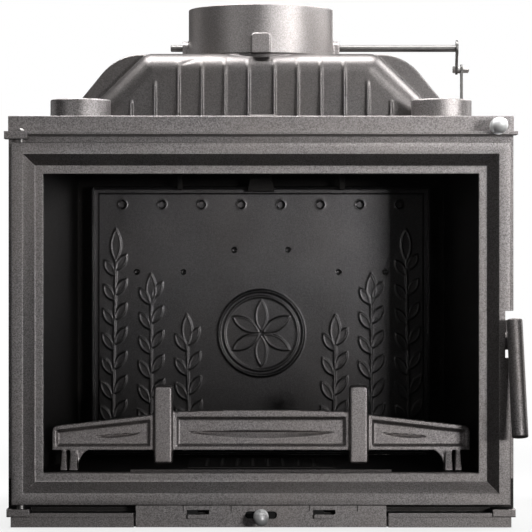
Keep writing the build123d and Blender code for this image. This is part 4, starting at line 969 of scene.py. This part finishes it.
def floor_material():
    """Grey near the part and white farther off to the camera, nearly black to all other rays."""
    mat, nodes, links, shader = new_material("floor")
    path = nodes.new("ShaderNodeLightPath")
    diffuse = nodes.new("ShaderNodeBsdfDiffuse")
    diffuse.inputs["Color"].default_value = (FLOOR_GREY, FLOOR_GREY, FLOOR_GREY, 1.0)
    glow = nodes.new("ShaderNodeEmission")
    glow.inputs["Color"].default_value = (1.0, 1.0, 1.0, 1.0)
    glow.inputs["Strength"].default_value = 1.0
    dim = nodes.new("ShaderNodeBsdfDiffuse")
    dim.inputs["Color"].default_value = (FLOOR_DIM, FLOOR_DIM, FLOOR_DIM, 1.0)
    away = nodes.new("ShaderNodeVectorMath")
    away.operation = "LENGTH"
    links.new(nodes.new("ShaderNodeTexCoord").outputs["Object"], away.inputs[0])
    seen = nodes.new("ShaderNodeMixShader")
    links.new(ramp(nodes, links, away.outputs["Value"], 0.45, 1.6, 0.78, 1.0), seen.inputs[0])
    links.new(diffuse.outputs[0], seen.inputs[1])
    links.new(glow.outputs[0], seen.inputs[2])
    pick = nodes.new("ShaderNodeMixShader")
    links.new(path.outputs["Is Camera Ray"], pick.inputs[0])
    links.new(dim.outputs[0], pick.inputs[1])
    links.new(seen.outputs[0], pick.inputs[2])
    links.new(pick.outputs[0], nodes["Material Output"].inputs["Surface"])
    nodes.remove(shader)
    return mat


floor_mesh = bpy.data.meshes.new("floor")
floor_corners = [(x * FLOOR_HALF, y * FLOOR_HALF, 0) for x, y in ((-1, -1), (1, -1), (1, 1), (-1, 1))]
floor_mesh.from_pydata(floor_corners, [], [(0, 1, 2, 3)])
floor = bpy.data.objects.new("floor", floor_mesh)
floor.data.materials.append(floor_material())
floor.location.z = -0.0005
bpy.context.collection.objects.link(floor)


def light_world():
    """White to the camera, nearly black to all other rays."""
    world = bpy.data.worlds.new("world")
    bpy.context.scene.world = world
    world.use_nodes = True
    nodes, links = world.node_tree.nodes, world.node_tree.links
    white, ambient = nodes["Background"], nodes.new("ShaderNodeBackground")
    for shader, colour, strength in ((white, (1.0, 1.0, 1.0), 1.0), (ambient, (1.0, 0.99, 0.98), AMBIENT)):
        shader.inputs["Color"].default_value = (*colour, 1.0)
        shader.inputs["Strength"].default_value = strength
    ray = nodes.new("ShaderNodeLightPath")
    choose = nodes.new("ShaderNodeMixShader")
    links.new(ray.outputs["Is Camera Ray"], choose.inputs[0])
    links.new(ambient.outputs[0], choose.inputs[1])
    links.new(white.outputs[0], choose.inputs[2])
    links.new(choose.outputs[0], nodes["World Output"].inputs["Surface"])


light_world()


def softbox(name, place, target, width, height, power, spread=180.0):
    """Area lamp that faces a target."""
    data = bpy.data.lights.new(name, "AREA")
    data.shape = "RECTANGLE"
    data.size, data.size_y = width, height
    data.energy = power
    data.spread = math.radians(spread)
    lamp = bpy.data.objects.new(name, data)
    lamp.location = place
    lamp.rotation_euler = (Vector(target) - Vector(place)).to_track_quat("-Z", "Y").to_euler()
    bpy.context.collection.objects.link(lamp)


# Each lamp: name, place, target, width, height, watts and, where it is gridded, its spread in degrees
LAMPS = (
    ("front_box", (1.56, -3.6, 0.52), (0.0, 0.0, 0.3), 0.5, 0.3, 37.0),
    ("key_box", (0.42, -1.10, 1.24), (0.0, -0.2, 0.4), 0.35, 0.35, 3.0),
    ("right_box", (0.78, -0.68, 0.8), (0.05, 0.0, 0.62), 0.3, 0.3, 0.5, 50.0),
    ("far_right_box", (0.80, 0.16, 1.06), (0.14, -0.04, 0.58), 0.4, 0.4, 7.5),
    ("top_box", (-0.04, -0.045, 1.30), (-0.04, -0.06, 0.5), 1.0, 0.32, 19.0),
    ("side_left_box", (-2.6, 1.5, 0.6), (0.0, 0.0, 0.2), 0.8, 0.8, 3.0),
    ("side_right_box", (2.6, 1.5, 0.6), (0.0, 0.0, 0.2), 0.8, 0.8, 8.0),
    ("back_box", (0.5, 3.2, 1.2), (0.0, 0.1, 0.35), 1.0, 0.8, 34.0),
    ("left_box", (-0.40, -0.04, 1.20), (-0.40, -0.05, 0.58), 0.3, 0.3, 3.0),
    ("left_front_box", (-0.9, -1.0, 0.75), (0.0, 0.0, 0.62), 0.3, 0.3, 0.047, 35.0),
    ("fill_box", (-1.3, -3.2, 0.5), (-0.2, 0.0, 0.3), 0.5, 0.5, 3.0),
)
for lamp in LAMPS:
    softbox(*lamp)
